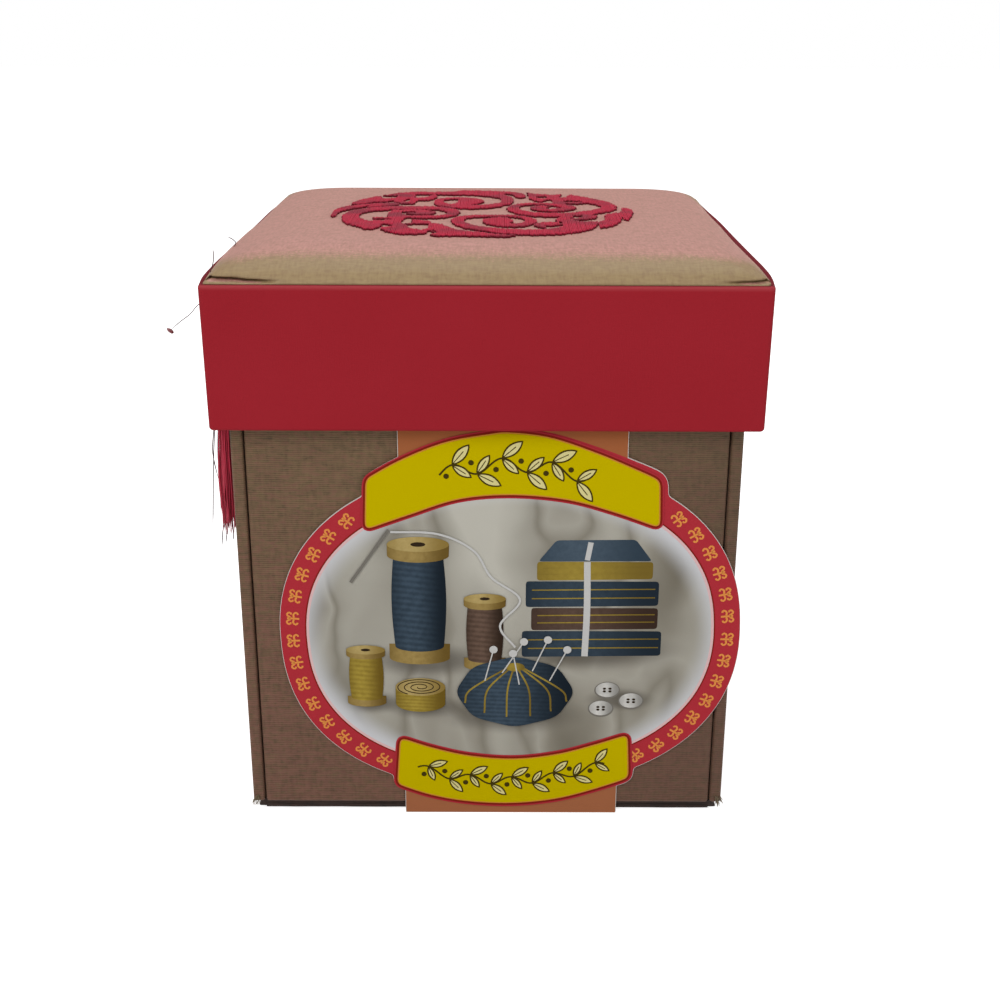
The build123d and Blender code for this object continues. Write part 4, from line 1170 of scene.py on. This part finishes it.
def flat_print(name, outlines, layer, material, lines=False):
    """Flat printed shapes from their outlines (x, z in mm), a number of ink layers above the card.

    Lines are outlines of even width, there and back, and get a face at each step along them.
    """
    outlines = [np.asarray(outline, float) for outline in outlines]
    places, faces, spots, start = [], [], [], 0
    for outline in outlines:
        after = np.roll(outline, -1, axis=0)
        if not lines and np.sum(outline[:, 0] * after[:, 1] - after[:, 0] * outline[:, 1]) < 0:
            outline = outline[::-1]
        low, high = outline.min(axis=0), outline.max(axis=0)
        spots.append((outline - low) / (high - low))
        y = np.full(len(outline), flap_low[1] - layer * print_layer)
        places.append(np.column_stack([outline[:, 0], y, outline[:, 1]]) * MM)
        index = np.arange(start, start + len(outline))
        there, back = index[:len(outline) // 2], index[::-1][:len(outline) // 2]
        if lines:
            faces += np.stack([there[:-1], there[1:], back[1:], back[:-1]], axis=1).tolist()
        else:
            faces.append(index.tolist())
        start += len(outline)
    mesh = bpy.data.meshes.new(name)
    mesh.from_pydata(np.concatenate(places).tolist(), [], faces)
    layer_uv = mesh.uv_layers.new(name="print")
    on_loops = np.empty(len(mesh.loops), int)
    mesh.loops.foreach_get("vertex_index", on_loops)
    layer_uv.data.foreach_set("uv", np.concatenate(spots)[on_loops].ravel())
    mesh.materials.append(material)
    mesh.update()
    made = in_scene(name, mesh)
    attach(made, "front_flap")


def full_oval(inset, count=200):
    """The label's oval: |x/a|^n + |z/b|^n = 1 with n = 2.28, turned 2.6 degrees, inset by a margin."""
    turn = np.linspace(0, 2 * pi, count, endpoint=False)
    stretch = (np.abs(np.cos(turn)) ** label_fullness + np.abs(np.sin(turn)) ** label_fullness) ** (
        -1 / label_fullness)
    x = (label_half[0] - inset) * stretch * np.cos(turn)
    z = (label_half[1] - inset) * stretch * np.sin(turn)
    return np.stack([label_x + x * cos(label_turn) - z * sin(label_turn),
                     label_z + x * sin(label_turn) + z * cos(label_turn)], axis=1)


def ellipse(half_x, half_z, x, z, count=40):
    """Upright ellipse outline."""
    turn = np.linspace(0, 2 * pi, count, endpoint=False)
    return np.stack([x + half_x * np.cos(turn), z + half_z * np.sin(turn)], axis=1)


def softened(corners, rounding, step=0.3):
    """Closed outline through corner points, evenly stepped, its corners rounded by a Gaussian blur."""
    closed_line = np.vstack([corners, corners[:1]])
    run = np.concatenate([[0], np.cumsum(np.linalg.norm(np.diff(closed_line, axis=0), axis=1))])
    count = int(run[-1] / step)
    even = np.linspace(0, run[-1], count, endpoint=False)
    line = np.interp(even, run, closed_line[:, 0]) + 1j * np.interp(even, run, closed_line[:, 1])
    waves = np.fft.fftfreq(count, run[-1] / count) * 2 * pi
    line = np.fft.ifft(np.fft.fft(line) * np.exp(-((waves * rounding) ** 2) / 2))
    return np.stack([line.real, line.imag], axis=1)


def grown(outline, margin):
    """Outline moved outward along its normals by a margin."""
    after = np.roll(outline, -1, axis=0)
    turn = np.sign(np.sum(outline[:, 0] * after[:, 1] - after[:, 0] * outline[:, 1]))
    heading = after - np.roll(outline, 1, axis=0)
    heading /= np.linalg.norm(heading, axis=1)[:, None]
    return outline + np.reshape(margin, (-1, 1)) * turn * np.stack([heading[:, 1], -heading[:, 0]], axis=1)


def banner(top_edge, bottom_edge):
    """Bent ribbon between two smooth edges, there along one and back along the other, corners rounded."""
    top = smooth_path([(x, z, 0) for x, z in top_edge], 0.3)[:, :2]
    bottom = smooth_path([(x, z, 0) for x, z in bottom_edge], 0.3)[:, :2]
    return softened(np.vstack([bottom, top[::-1]]), 0.9)


def band_ink():
    """Orange-brown, a little paler towards the foot, where the card turns to the light."""
    material = empty_material("orange_brown_ink")
    place = add(material, "ShaderNodeTexCoord").outputs["Object"]
    split = add(material, "ShaderNodeSeparateXYZ", {0: place})
    rise = add(material, "ShaderNodeMapRange", {"Value": split.outputs["Z"], "From Max": 0.1})
    colour = add(material, "ShaderNodeMix", {0: rise.outputs[0], 6: "a26646", 7: "a1603b"},
                 data_type="RGBA").outputs[2]
    return finish_as_ink(material, colour)


orange_ink = band_ink()
red_ink = printed("red_ink", "aa2c35", "b23640")
deep_red_ink = printed("deep_red_ink", "7c1f18", "84261b")
rose_ink = printed("rose_edge_ink", "d8b0b0", "e0bcbb")
yellow_ink = printed("yellow_ink", "bfab00", "c4b100")
amber_ink = printed("amber_ink", "c4822e", "cf8d38")
gold_ink = printed("gold_ink", "dd8844", "e3964e")
line_ink = printed("dark_line_ink", "3e3410", "4a3d16")
pale_ink = printed("pale_fill_ink", "d2c988", "dcd296")

# Edges of the banners, from left to right
upper_top = [(-26.5, 85.3), (-18.8, 89.7), (-9.2, 93.7), (0.4, 95.6), (5.2, 96.0), (14.1, 94.8),
             (24.4, 91.2), (33.4, 87.3), (38.0, 85.1)]
upper_bottom = [(-27.0, 73.8), (-17.7, 77.2), (-6.5, 81.0), (5.2, 82.1), (17.7, 81.0), (28.2, 78.1),
                (38.4, 74.4)]
lower_top = [(-20.3, 20.4), (-12.9, 17.8), (-4.1, 15.7), (6.4, 14.9), (16.7, 16.2), (25.6, 18.8),
             (33.0, 21.4)]
lower_bottom = [(-21.2, 8.3), (-13.1, 5.4), (-4.1, 3.7), (6.4, 3.3), (16.9, 4.6), (25.9, 7.3),
                (33.6, 10.2)]
upper_banner = banner(upper_top, upper_bottom)
lower_banner = banner(lower_top, lower_bottom)


def seen_from(centre, shapes):
    """Outline of overlapping shapes together: the farthest crossing of each ray from a middle point."""
    turn = np.linspace(0, 2 * pi, 1500, endpoint=False)
    ray_x, ray_z = np.cos(turn)[:, None], np.sin(turn)[:, None]
    reach = np.zeros(len(turn))
    for shape in shapes:
        start = np.asarray(shape, float) - centre
        edge = np.roll(start, -1, axis=0) - start
        across = ray_x * edge[:, 1] - ray_z * edge[:, 0]
        across = np.where(np.abs(across) < 1e-9, 1e-9, across)
        far = (start[:, 0] * edge[:, 1] - start[:, 1] * edge[:, 0]) / across
        share = (start[:, 0] * ray_z - start[:, 1] * ray_x) / across
        met = (share >= 0) & (share <= 1) & (far > 0)
        reach = np.maximum(reach, np.where(met, far, 0).max(axis=1))
    return np.array(centre) + reach[:, None] * np.stack([ray_x[:, 0], ray_z[:, 0]], axis=1)


# The label's outline: the oval and the red ground round each banner, taken together
label_middle = (label_x, label_z)
upper_margin = np.interp(upper_banner[:, 0], (-28, 0, 20, 39), (0.95, 1.1, 1.6, 2.2))
lower_margin = np.interp(lower_banner[:, 0], (-22, 10, 34), (1.3, 1.2, 1.5))
label_outline = softened(seen_from(label_middle, [full_oval(0.0), grown(upper_banner, upper_margin),
                                                  grown(lower_banner, lower_margin)]), 0.5)
band_outline = [(strip_low[0], flap_low[2]), (strip_high[0], flap_low[2]),
                (strip_high[0], flap_high[2]), (strip_low[0], flap_high[2])]
card_outline = seen_from(label_middle, [label_outline, band_outline])
card_front = np.column_stack([card_outline[:, 0], np.full(len(card_outline), flap_low[1]),
                              card_outline[:, 1]])
card_back = card_front + (0, flap_high[1] - flap_low[1], 0)
flap_card = grid_mesh("sleeve_front_card", np.stack([card_front, card_back]), card_white,
                      closed=True, capped=True, smooth=False)
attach(flap_card, "front_flap")
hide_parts("sleeve_front_flap")
band_left, band_right = strip_low[0] + 0.12, strip_high[0] - 0.12
band_foot, band_head = flap_low[2] + 0.02, flap_high[2] - 0.1

prints = [
    ("band", [(band_left, band_foot), (band_right, band_foot), (band_right, band_head),
              (band_left, band_head)], 1, orange_ink),
    ("ring", grown(label_outline, -0.12), 2, red_ink),
    ("ring_line", full_oval(5.8), 4, deep_red_ink),
    ("ring_edge", full_oval(6.1), 5, rose_ink),
]
for place, edge, surround, line in (("upper", upper_banner, 1.1, 0.78),
                                    ("lower", lower_banner, 1.2, 0.82)):
    prints += [(f"{place}_surround", grown(edge, surround), 8, red_ink),
               (f"{place}_line", grown(edge, line), 9, deep_red_ink),
               (f"{place}_amber", grown(edge, 0.30), 10, amber_ink),
               (f"{place}_yellow", edge, 11, yellow_ink)]
for name, outline, layer, material in prints:
    flat_print(f"print_{name}", [outline], layer, material)

# Still life in the oval, printed on cream drapery: a stack of folded cloths, a
# big spool and two small ones, a round pincushion, buttons and a tape measure.

# Soft shadows under the things: (x, z, half width, half height)
shadow_spots = [(24.0, 43.5, 21.0, 5.0), (-14.0, 41.0, 14.0, 4.5), (5.5, 27.0, 17.0, 5.0),
                (-27.0, 30.0, 8.0, 3.0), (31.0, 31.0, 8.0, 3.0), (-14.5, 29.0, 9.0, 3.2)]
# The picture's edge, where the drapery has faded out
picture_half_x, picture_half_z = 46.4, 34.7


def cream_drapery():
    """Printed folds of cream cloth as slanting soft ridges, darkened by soft round shadows under
    the things on it, fading to a pale edge inside the oval."""
    material = empty_material("cream_drapery_print")
    place = add(material, "ShaderNodeTexCoord").outputs["Object"]
    sway = add(material, "ShaderNodeTexNoise", {"Vector": place, "Scale": 22.0, "Detail": 3.0,
                                                "Roughness": 0.5})
    pushed = add(material, "ShaderNodeVectorMath", {0: sway.outputs["Color"], 1: (0.035, 0, 0.035)},
                 operation="MULTIPLY")
    bent = add(material, "ShaderNodeVectorMath", {0: place, 1: pushed.outputs[0]}, operation="ADD")
    slanting = add(material, "ShaderNodeMapping", {
        "Vector": bent.outputs[0], "Rotation": (0, radians(52), 0), "Scale": (42, 1, 13)})
    folds = add(material, "ShaderNodeTexNoise", {"Vector": slanting.outputs[0], "Scale": 1.0,
                                                 "Detail": 2.0, "Roughness": 0.35})
    ramp = add(material, "ShaderNodeValToRGB", {0: folds.outputs["Fac"]})
    stops = ramp.color_ramp.elements
    stops[0].position, stops[0].color = 0.30, srgb("6d675a")
    stops[1].position, stops[1].color = 0.68, srgb("bcb9ae")
    for position, tone in ((0.40, "8b867a"), (0.47, "a5a196"), (0.51, "878276"), (0.54, "9c988d")):
        stops.new(position).color = srgb(tone)
    colour = ramp.outputs[0]
    for x, z, half_x, half_z in shadow_spots:
        spot = add(material, "ShaderNodeMapping", {
            "Vector": place, "Location": (-x / half_x, 0, -z / half_z),
            "Scale": (1 / (half_x * MM), 0, 1 / (half_z * MM))})
        far = add(material, "ShaderNodeVectorMath", {0: spot.outputs[0]}, operation="LENGTH")
        soft = add(material, "ShaderNodeMapRange", {"Value": far.outputs["Value"], "From Min": 0.35,
                                                    "From Max": 1.15, "To Min": 0.75, "To Max": 0.0},
                   interpolation_type="SMOOTHSTEP")
        colour = add(material, "ShaderNodeMix", {0: soft.outputs[0], 6: colour, 7: "57524a"},
                     data_type="RGBA").outputs[2]
    split = add(material, "ShaderNodeSeparateXYZ", {0: place})
    reach = []
    for axis, centre, half in (("X", label_x, picture_half_x), ("Z", label_z, picture_half_z)):
        off = add(material, "ShaderNodeMath", {0: split.outputs[axis], 1: centre * MM},
                  operation="SUBTRACT")
        scaled = add(material, "ShaderNodeMath", {0: off.outputs[0], 1: half * MM}, operation="DIVIDE")
        reach.append(add(material, "ShaderNodeMath", {0: scaled.outputs[0], 1: 2.0}, operation="POWER"))
    total = add(material, "ShaderNodeMath", {0: reach[0].outputs[0], 1: reach[1].outputs[0]},
                operation="ADD")
    fade = add(material, "ShaderNodeMapRange", {"Value": total.outputs[0], "From Min": 0.80,
                                                "From Max": 1.10}, interpolation_type="SMOOTHSTEP")
    colour = add(material, "ShaderNodeMix", {0: fade.outputs[0], 6: colour, 7: "c9cacd"},
                 data_type="RGBA").outputs[2]
    return finish_as_ink(material, colour)


def round_print(name, dark, light, turns=0):
    """Printed tones of a round thing: lit a third of the way across U, dark at both sides.

    Turns of wound thread are grooves across V, a sine that slants a little along U.
    """
    material = empty_material(name)
    place = add(material, "ShaderNodeTexCoord").outputs["Object"]
    spot = add(material, "ShaderNodeUVMap", uv_map="print")
    split = add(material, "ShaderNodeSeparateXYZ", {0: spot.outputs[0]})
    off = add(material, "ShaderNodeMath", {0: split.outputs["X"], 1: 0.36}, operation="SUBTRACT")
    away = add(material, "ShaderNodeMath", {0: off.outputs[0]}, operation="ABSOLUTE")
    lit_part = add(material, "ShaderNodeMapRange", {"Value": away.outputs[0], "From Min": 0.02,
                                                    "From Max": 0.60, "To Min": 1.0, "To Max": 0.0},
                   interpolation_type="SMOOTHSTEP")
    grain = add(material, "ShaderNodeTexNoise", {"Vector": place, "Scale": 900.0, "Detail": 2.0})
    wave = add(material, "ShaderNodeMath", {0: split.outputs["X"], 1: 0.06 if turns else 0.0,
                                            2: split.outputs["Y"]}, operation="MULTIPLY_ADD")
    spun = add(material, "ShaderNodeMath", {0: wave.outputs[0], 1: 2 * pi * max(turns, 0.5)},
               operation="MULTIPLY")
    line = add(material, "ShaderNodeMath", {0: spun.outputs[0]}, operation="SINE")
    groove = add(material, "ShaderNodeMath", {0: line.outputs[0], 1: 0.22 if turns else 0.06,
                                              2: grain.outputs["Fac"]}, operation="MULTIPLY_ADD")
    sunk = add(material, "ShaderNodeMapRange", {"Value": groove.outputs[0], "From Min": 0.2,
                                                "From Max": 0.8, "To Min": 0.45, "To Max": 0.0})
    colour = dark
    for factor, tint in ((lit_part, light), (sunk, dark)):
        colour = add(material, "ShaderNodeMix", {0: factor.outputs[0], 6: colour, 7: tint},
                     data_type="RGBA").outputs[2]
    return finish_as_ink(material, colour)


flat_print("print_picture_ground", [full_oval(6.7)], 6, cream_drapery())

navy_round = round_print("navy_thread_print", "1c242c", "42515f", turns=17)
navy_cloth = round_print("navy_cloth_print", "232c35", "3b4854")
navy_top = round_print("navy_cloth_top_print", "33404c", "4d5b68")
brown_round = round_print("brown_thread_print", "33271f", "6b564a", turns=12)
brown_cloth = round_print("brown_cloth_print", "3a2c25", "5e4b41")
gold_round = round_print("gold_thread_print", "6b5620", "a8923f", turns=10)
gold_cloth = round_print("gold_cloth_print", "76622a", "a08a3c")
white_round = round_print("white_thread_print", "8f8d88", "d6d4cf", turns=11)
wood_print = round_print("spool_wood_print", "6a5428", "a58d55")
wood_top = round_print("spool_wood_top_print", "8a733c", "b8a26a")
hole_print = printed("spool_hole_print", "2c2218", "3a2e22")
white_ink = printed("white_print", "bdbcba", "c8c7c4")
grey_ink = printed("grey_line_print", "6f6b64", "7a766e")


def spool(name, x, low, width, height, wound, layer):
    """Spool seen a little from above: wooden foot, barrel of wound thread, wooden top with its hole.

    Its round edges are half ellipses as wide as the spool and 0.26 times as high.
    """
    tilt = 0.13 * width
    half = width / 2
    seat = low + tilt
    foot = np.vstack([ellipse(half, tilt, x, seat)[20:],
                      [(x + half, seat + 0.12 * height), (x - half, seat + 0.12 * height)]])
    flat_print(f"print_{name}_foot", [foot], layer, wood_print)
    t = np.linspace(0, 1, 15)
    bulge = width * (0.40 + 0.045 * np.sin(t * pi))
    z = seat + height * (0.10 + 0.78 * t)
    barrel = np.vstack([np.stack([x + bulge, z], axis=1), np.stack([x - bulge, z], axis=1)[::-1]])
    base_arc = ellipse(width * 0.40, tilt * 0.8, x, seat + height * 0.10)[20:]
    flat_print(f"print_{name}_thread", [np.vstack([barrel, base_arc])], layer + 1, wound)
    rim = np.vstack([ellipse(half, tilt, x, seat + height * 0.88)[20:],
                     ellipse(half, tilt, x, seat + height * 0.96)[:21]])
    flat_print(f"print_{name}_rim", [rim], layer + 2, wood_print)
    crown_z = seat + height * 0.97
    flat_print(f"print_{name}_top", [ellipse(half, tilt, x, crown_z)], layer + 3, wood_top)
    flat_print(f"print_{name}_hole", [ellipse(width * 0.12, tilt * 0.3, x, crown_z)], layer + 4,
               hole_print)


def ribbon_line(middle_line, width):
    """Outline of a line of even width along a smooth path of (x, z) points."""
    path = smooth_path([(x, z, 0) for x, z in middle_line], 0.4)
    heading = np.gradient(path[:, :2], axis=0)
    heading /= np.linalg.norm(heading, axis=1)[:, None]
    side = np.stack([-heading[:, 1], heading[:, 0]], axis=1) * width / 2
    return np.vstack([path[:, :2] - side, (path[:, :2] + side)[::-1]])


def folded_cloth(name, x, z, width, thick, cloth, skew):
    """Folded cloth lying flat: a band with softened corners, and two lines for its layers."""
    corners = [(x + skew, z), (x + width, z + 0.4), (x + width, z + thick), (x + skew, z + thick)]
    flat_print(f"print_{name}", [softened(np.array(corners), 0.5, 0.4)], 7, cloth)
    lines = [ribbon_line([(x + skew + 1.4, z + thick * k), (x + width / 2, z + thick * k + 0.15),
                          (x + width - 0.6, z + thick * k + 0.3)], 0.28) for k in (0.33, 0.66)]
    flat_print(f"print_{name}_layers", lines, 8, gold_cloth, lines=True)


folded_cloth("cloth_low", 8.0, 42.0, 32.0, 6.6, navy_cloth, 0.0)
folded_cloth("cloth_second", 9.5, 48.8, 29.5, 5.6, brown_cloth, 0.6)
folded_cloth("cloth_third", 8.8, 54.6, 30.2, 6.4, navy_cloth, 0.0)
folded_cloth("cloth_fourth", 10.5, 61.2, 27.0, 4.6, gold_cloth, 0.8)
top_face = [(11.6, 65.9), (37.2, 66.0), (33.4, 71.2), (15.6, 71.0)]
flat_print("print_cloth_top", [softened(np.array(top_face), 0.5, 0.4)], 7.5, navy_top)
flat_print("print_cloth_ribbon", [ribbon_line([(22.5, 42.2), (22.8, 54), (22.6, 66.0)], 1.5),
                                  ribbon_line([(22.6, 66.2), (23.4, 70.9)], 1.2)], 9, white_ink, lines=True)

spool("big_spool", -15.5, 40.0, 14.0, 29.0, navy_round, 7)
spool("brown_spool", -0.5, 38.5, 9.6, 17.5, brown_round, 12)
spool("gold_spool", -28.0, 29.0, 9.0, 14.0, gold_round, 12)

pad_x, pad_z = 6.5, 33.0
turn = np.linspace(0, 2 * pi, 90, endpoint=False)
pad_outline = np.stack([pad_x + 13.2 * np.cos(turn) * (1 + 0.018 * np.cos(8 * turn)),
                        pad_z + 8.8 * np.sin(turn) * (1 + 0.02 * np.cos(8 * turn))], axis=1)
flat_print("print_pad_body", [pad_outline], 17, navy_round)
seams = [ribbon_line([(pad_x + 13.0 * k, pad_z - 6.6 * (1 - k * k) ** 0.5),
                      (pad_x + 11.5 * k, pad_z + 0.6), (pad_x + 1.8 * k, pad_z + 6.4)], 0.42)
         for k in (-0.9, -0.55, -0.15, 0.28, 0.65, 0.93)]
flat_print("print_pad_seams", seams, 18, gold_cloth, lines=True)
flat_print("print_pad_button", [ellipse(2.2, 1.1, pad_x, pad_z + 6.5)], 19, gold_cloth)
# Each pin stands in the pad at (dx, dz) and leans to one side by half its lean
pin_places = ((-7, 3, 4), (-3, 5, 10), (4, 5.5, 7), (8, 3, 8), (1, 2, -3))
pin_feet = [(pad_x + dx, pad_z + dz) for dx, dz, lean in pin_places]
pin_tops = [(pad_x + dx + lean * 0.5, pad_z + dz + 8.0) for dx, dz, lean in pin_places]
pins = [ribbon_line([foot, top], 0.3) for foot, top in zip(pin_feet, pin_tops)]
flat_print("print_pins", pins, 20, white_ink, lines=True)
flat_print("print_pin_heads", [ellipse(0.95, 0.95, *top, 20) for top in pin_tops], 21, white_ink)

roll_x, roll_foot, roll_head = -15.5, 30.0, 34.2
roll_half_x, roll_half_z = 5.8, 2.3
roll_side = np.vstack([ellipse(roll_half_x, roll_half_z, roll_x, roll_foot)[20:],
                       ellipse(roll_half_x, roll_half_z, roll_x, roll_head)[:21]])
flat_print("print_tape_roll", [roll_side], 13, gold_round)
flat_print("print_tape_top", [ellipse(roll_half_x, roll_half_z, roll_x, roll_head)], 14, wood_top)
spiral = np.linspace(0.6, 4.6, 60)
coil = [(roll_x + r * 1.2 * cos(r * 5), roll_head + r * 0.47 * sin(r * 5)) for r in spiral.tolist()]
flat_print("print_tape_coil", [ribbon_line(coil, 0.22)], 15, hole_print, lines=True)
loose_thread = [(6.5, 44.5), (3.0, 50.0), (7.5, 56.5), (1.0, 62.0), (-3.0, 68.5), (-11.0, 72.5),
                (-22, 73.0)]
flat_print("print_loose_thread", [ribbon_line(loose_thread, 0.5)], 16.5, white_ink, lines=True)
flat_print("print_needle", [ribbon_line([(-22, 73.5), (-31, 60.5)], 0.7)], 16.5, grey_ink, lines=True)
button_places = [(28.0, 33.4), (33.6, 30.6), (26.6, 28.6)]
flat_print("print_button_rims", [ellipse(3.0, 2.2, x, z) for x, z in button_places], 8, grey_ink)
flat_print("print_buttons", [ellipse(2.7, 1.9, x, z + 0.15) for x, z in button_places], 9, white_round)
flat_print("print_button_holes", [ellipse(0.4, 0.28, x + dx, z + dz, 12) for x, z in button_places
                                  for dx in (-0.65, 0.65) for dz in (-0.25, 0.45)], 10, hole_print)

# Gold curls along the red ring, each a stem with two pairs of scrolls: fourteen
# on each side, about 5.5 mm apart.
curl_strokes = [[(0, -1.5), (0, -0.5), (0, 0.5), (0, 1.5)],
                [(0.25, 0.5), (0.8, 1.35), (1.45, 0.95), (1.2, 0.35), (0.8, 0.6)],
                [(0.25, -0.3), (0.9, -0.1), (1.5, -0.6), (1.15, -1.2), (0.75, -0.9)]]
ring_middle_inset = 2.95
curls_on_a_side = 14
# Where the curls start and end on each side, in mm round the ring's middle line
curl_runs = ((108.1, 181.2), (242.5, 313.9))


def ring_curls():
    """The curl's strokes and their mirror images, turned to stand across the ring at even steps."""
    middle = full_oval(ring_middle_inset, 720)
    run = np.concatenate([[0], np.cumsum(np.linalg.norm(np.diff(middle, axis=0), axis=1))])
    outlines = []
    for distance in np.concatenate([np.linspace(*ends, curls_on_a_side) for ends in curl_runs]):
        x, z = (np.interp(distance % run[-1], run, middle[:, k]) for k in (0, 1))
        angle = np.arctan2(z - label_z, x - label_x) - pi / 2
        for stroke in curl_strokes:
            for mirror in ((1, -1) if stroke[1][0] else (1,)):
                line = [(x + mirror * a * cos(angle) - b * sin(angle),
                         z + mirror * a * sin(angle) + b * cos(angle)) for a, b in stroke]
                outlines.append(ribbon_line(line, 0.46))
    return outlines


flat_print("print_ring_curls", ring_curls(), 3.5, gold_ink, lines=True)


# Leaf sprays in the banners: a stem that waves along the ribbon, outlined
# leaves with a pale fill to both sides, and small berries between them.
def leaf(x, z, length, width, lean):
    """Pointed leaf: half width is a sine of the way along it."""
    t = np.linspace(0, 1, 12)
    edge = width / 2 * np.sin(pi * t) ** 0.8
    along_leaf = length * t
    outline = np.concatenate([np.stack([along_leaf, edge], 1), np.stack([along_leaf[::-1], -edge[::-1]], 1)])
    c, s = cos(lean), sin(lean)
    return np.stack([x + outline[:, 0] * c - outline[:, 1] * s,
                     z + outline[:, 0] * s + outline[:, 1] * c], axis=1)


def spray(name, left, right, top_edge, bottom_edge, count, size, wave):
    """Stem, leaves and berries of one banner between two x places.

    The stem is a sine about the middle line of the ribbon, with two leaves and a berry at each crest.
    """
    x = np.linspace(left, right, 8 * count + 1)
    middle = (np.interp(x, *np.transpose(top_edge)) + np.interp(x, *np.transpose(bottom_edge))) / 2
    z = middle + wave * np.sin((x - left) / (right - left) * pi * count)
    slope = np.gradient(z, x)
    flat_print(f"print_{name}_stem", [ribbon_line(list(zip(x.tolist(), z.tolist())), 0.42)], 12, line_ink,
               lines=True)
    outer, inner, veins, berries = [], [], [], []
    for k in range(count):
        at = 8 * k + 4
        up = 1 if k % 2 == 0 else -1
        for lean, share in ((0.62, 1.0), (-0.85, 0.86)):
            angle = np.arctan(slope[at]) + up * lean
            leaf_size = size * share
            leaf_width = 0.42 * leaf_size
            outer.append(leaf(x[at], z[at], leaf_size, leaf_width, angle))
            start_x, start_z = x[at] + 0.5 * cos(angle), z[at] + 0.5 * sin(angle)
            inner.append(leaf(start_x, start_z, leaf_size - 1.0, leaf_width - 0.75, angle))
            veins.append(ribbon_line([(start_x, start_z), (x[at] + 0.7 * leaf_size * cos(angle),
                                                           z[at] + 0.7 * leaf_size * sin(angle))], 0.2))
        berries.append(ellipse(0.62, 0.62, x[at] - 0.4 * size * 0.5, z[at] - up * size * 0.42, 16))
    flat_print(f"print_{name}_leaf_lines", outer, 13, line_ink)
    flat_print(f"print_{name}_leaf_fills", inner, 14, pale_ink)
    flat_print(f"print_{name}_leaf_veins", veins, 15, line_ink, lines=True)
    flat_print(f"print_{name}_berries", berries, 13, line_ink)


spray("upper", -10.5, 22.5, upper_top, upper_bottom, 6, 6.2, 1.5)
spray("lower", -16.5, 28.0, lower_top, lower_bottom, 9, 5.0, 1.1)

# The band's back: a rectangle of the same orange-brown ink on the back flap. The
# strip under the base is out of sight and stays white.
back_low, back_high = corners_mm("sleeve_back_flap")
back_right, back_left = back_high[0] - 0.15, back_low[0] + 0.15
band_back = back_high[1] + print_layer
back_print = bpy.data.meshes.new("print_back_band")
back_print.from_pydata([(x * MM, band_back * MM, z * MM) for x, z in
                        ((back_right, back_low[2]), (back_left, back_low[2]),
                         (back_left, back_high[2]), (back_right, back_high[2]))], [], [(0, 1, 2, 3)])
back_print.materials.append(orange_ink)
back_band = in_scene("print_back_band", back_print)
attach(back_band, "back_flap")
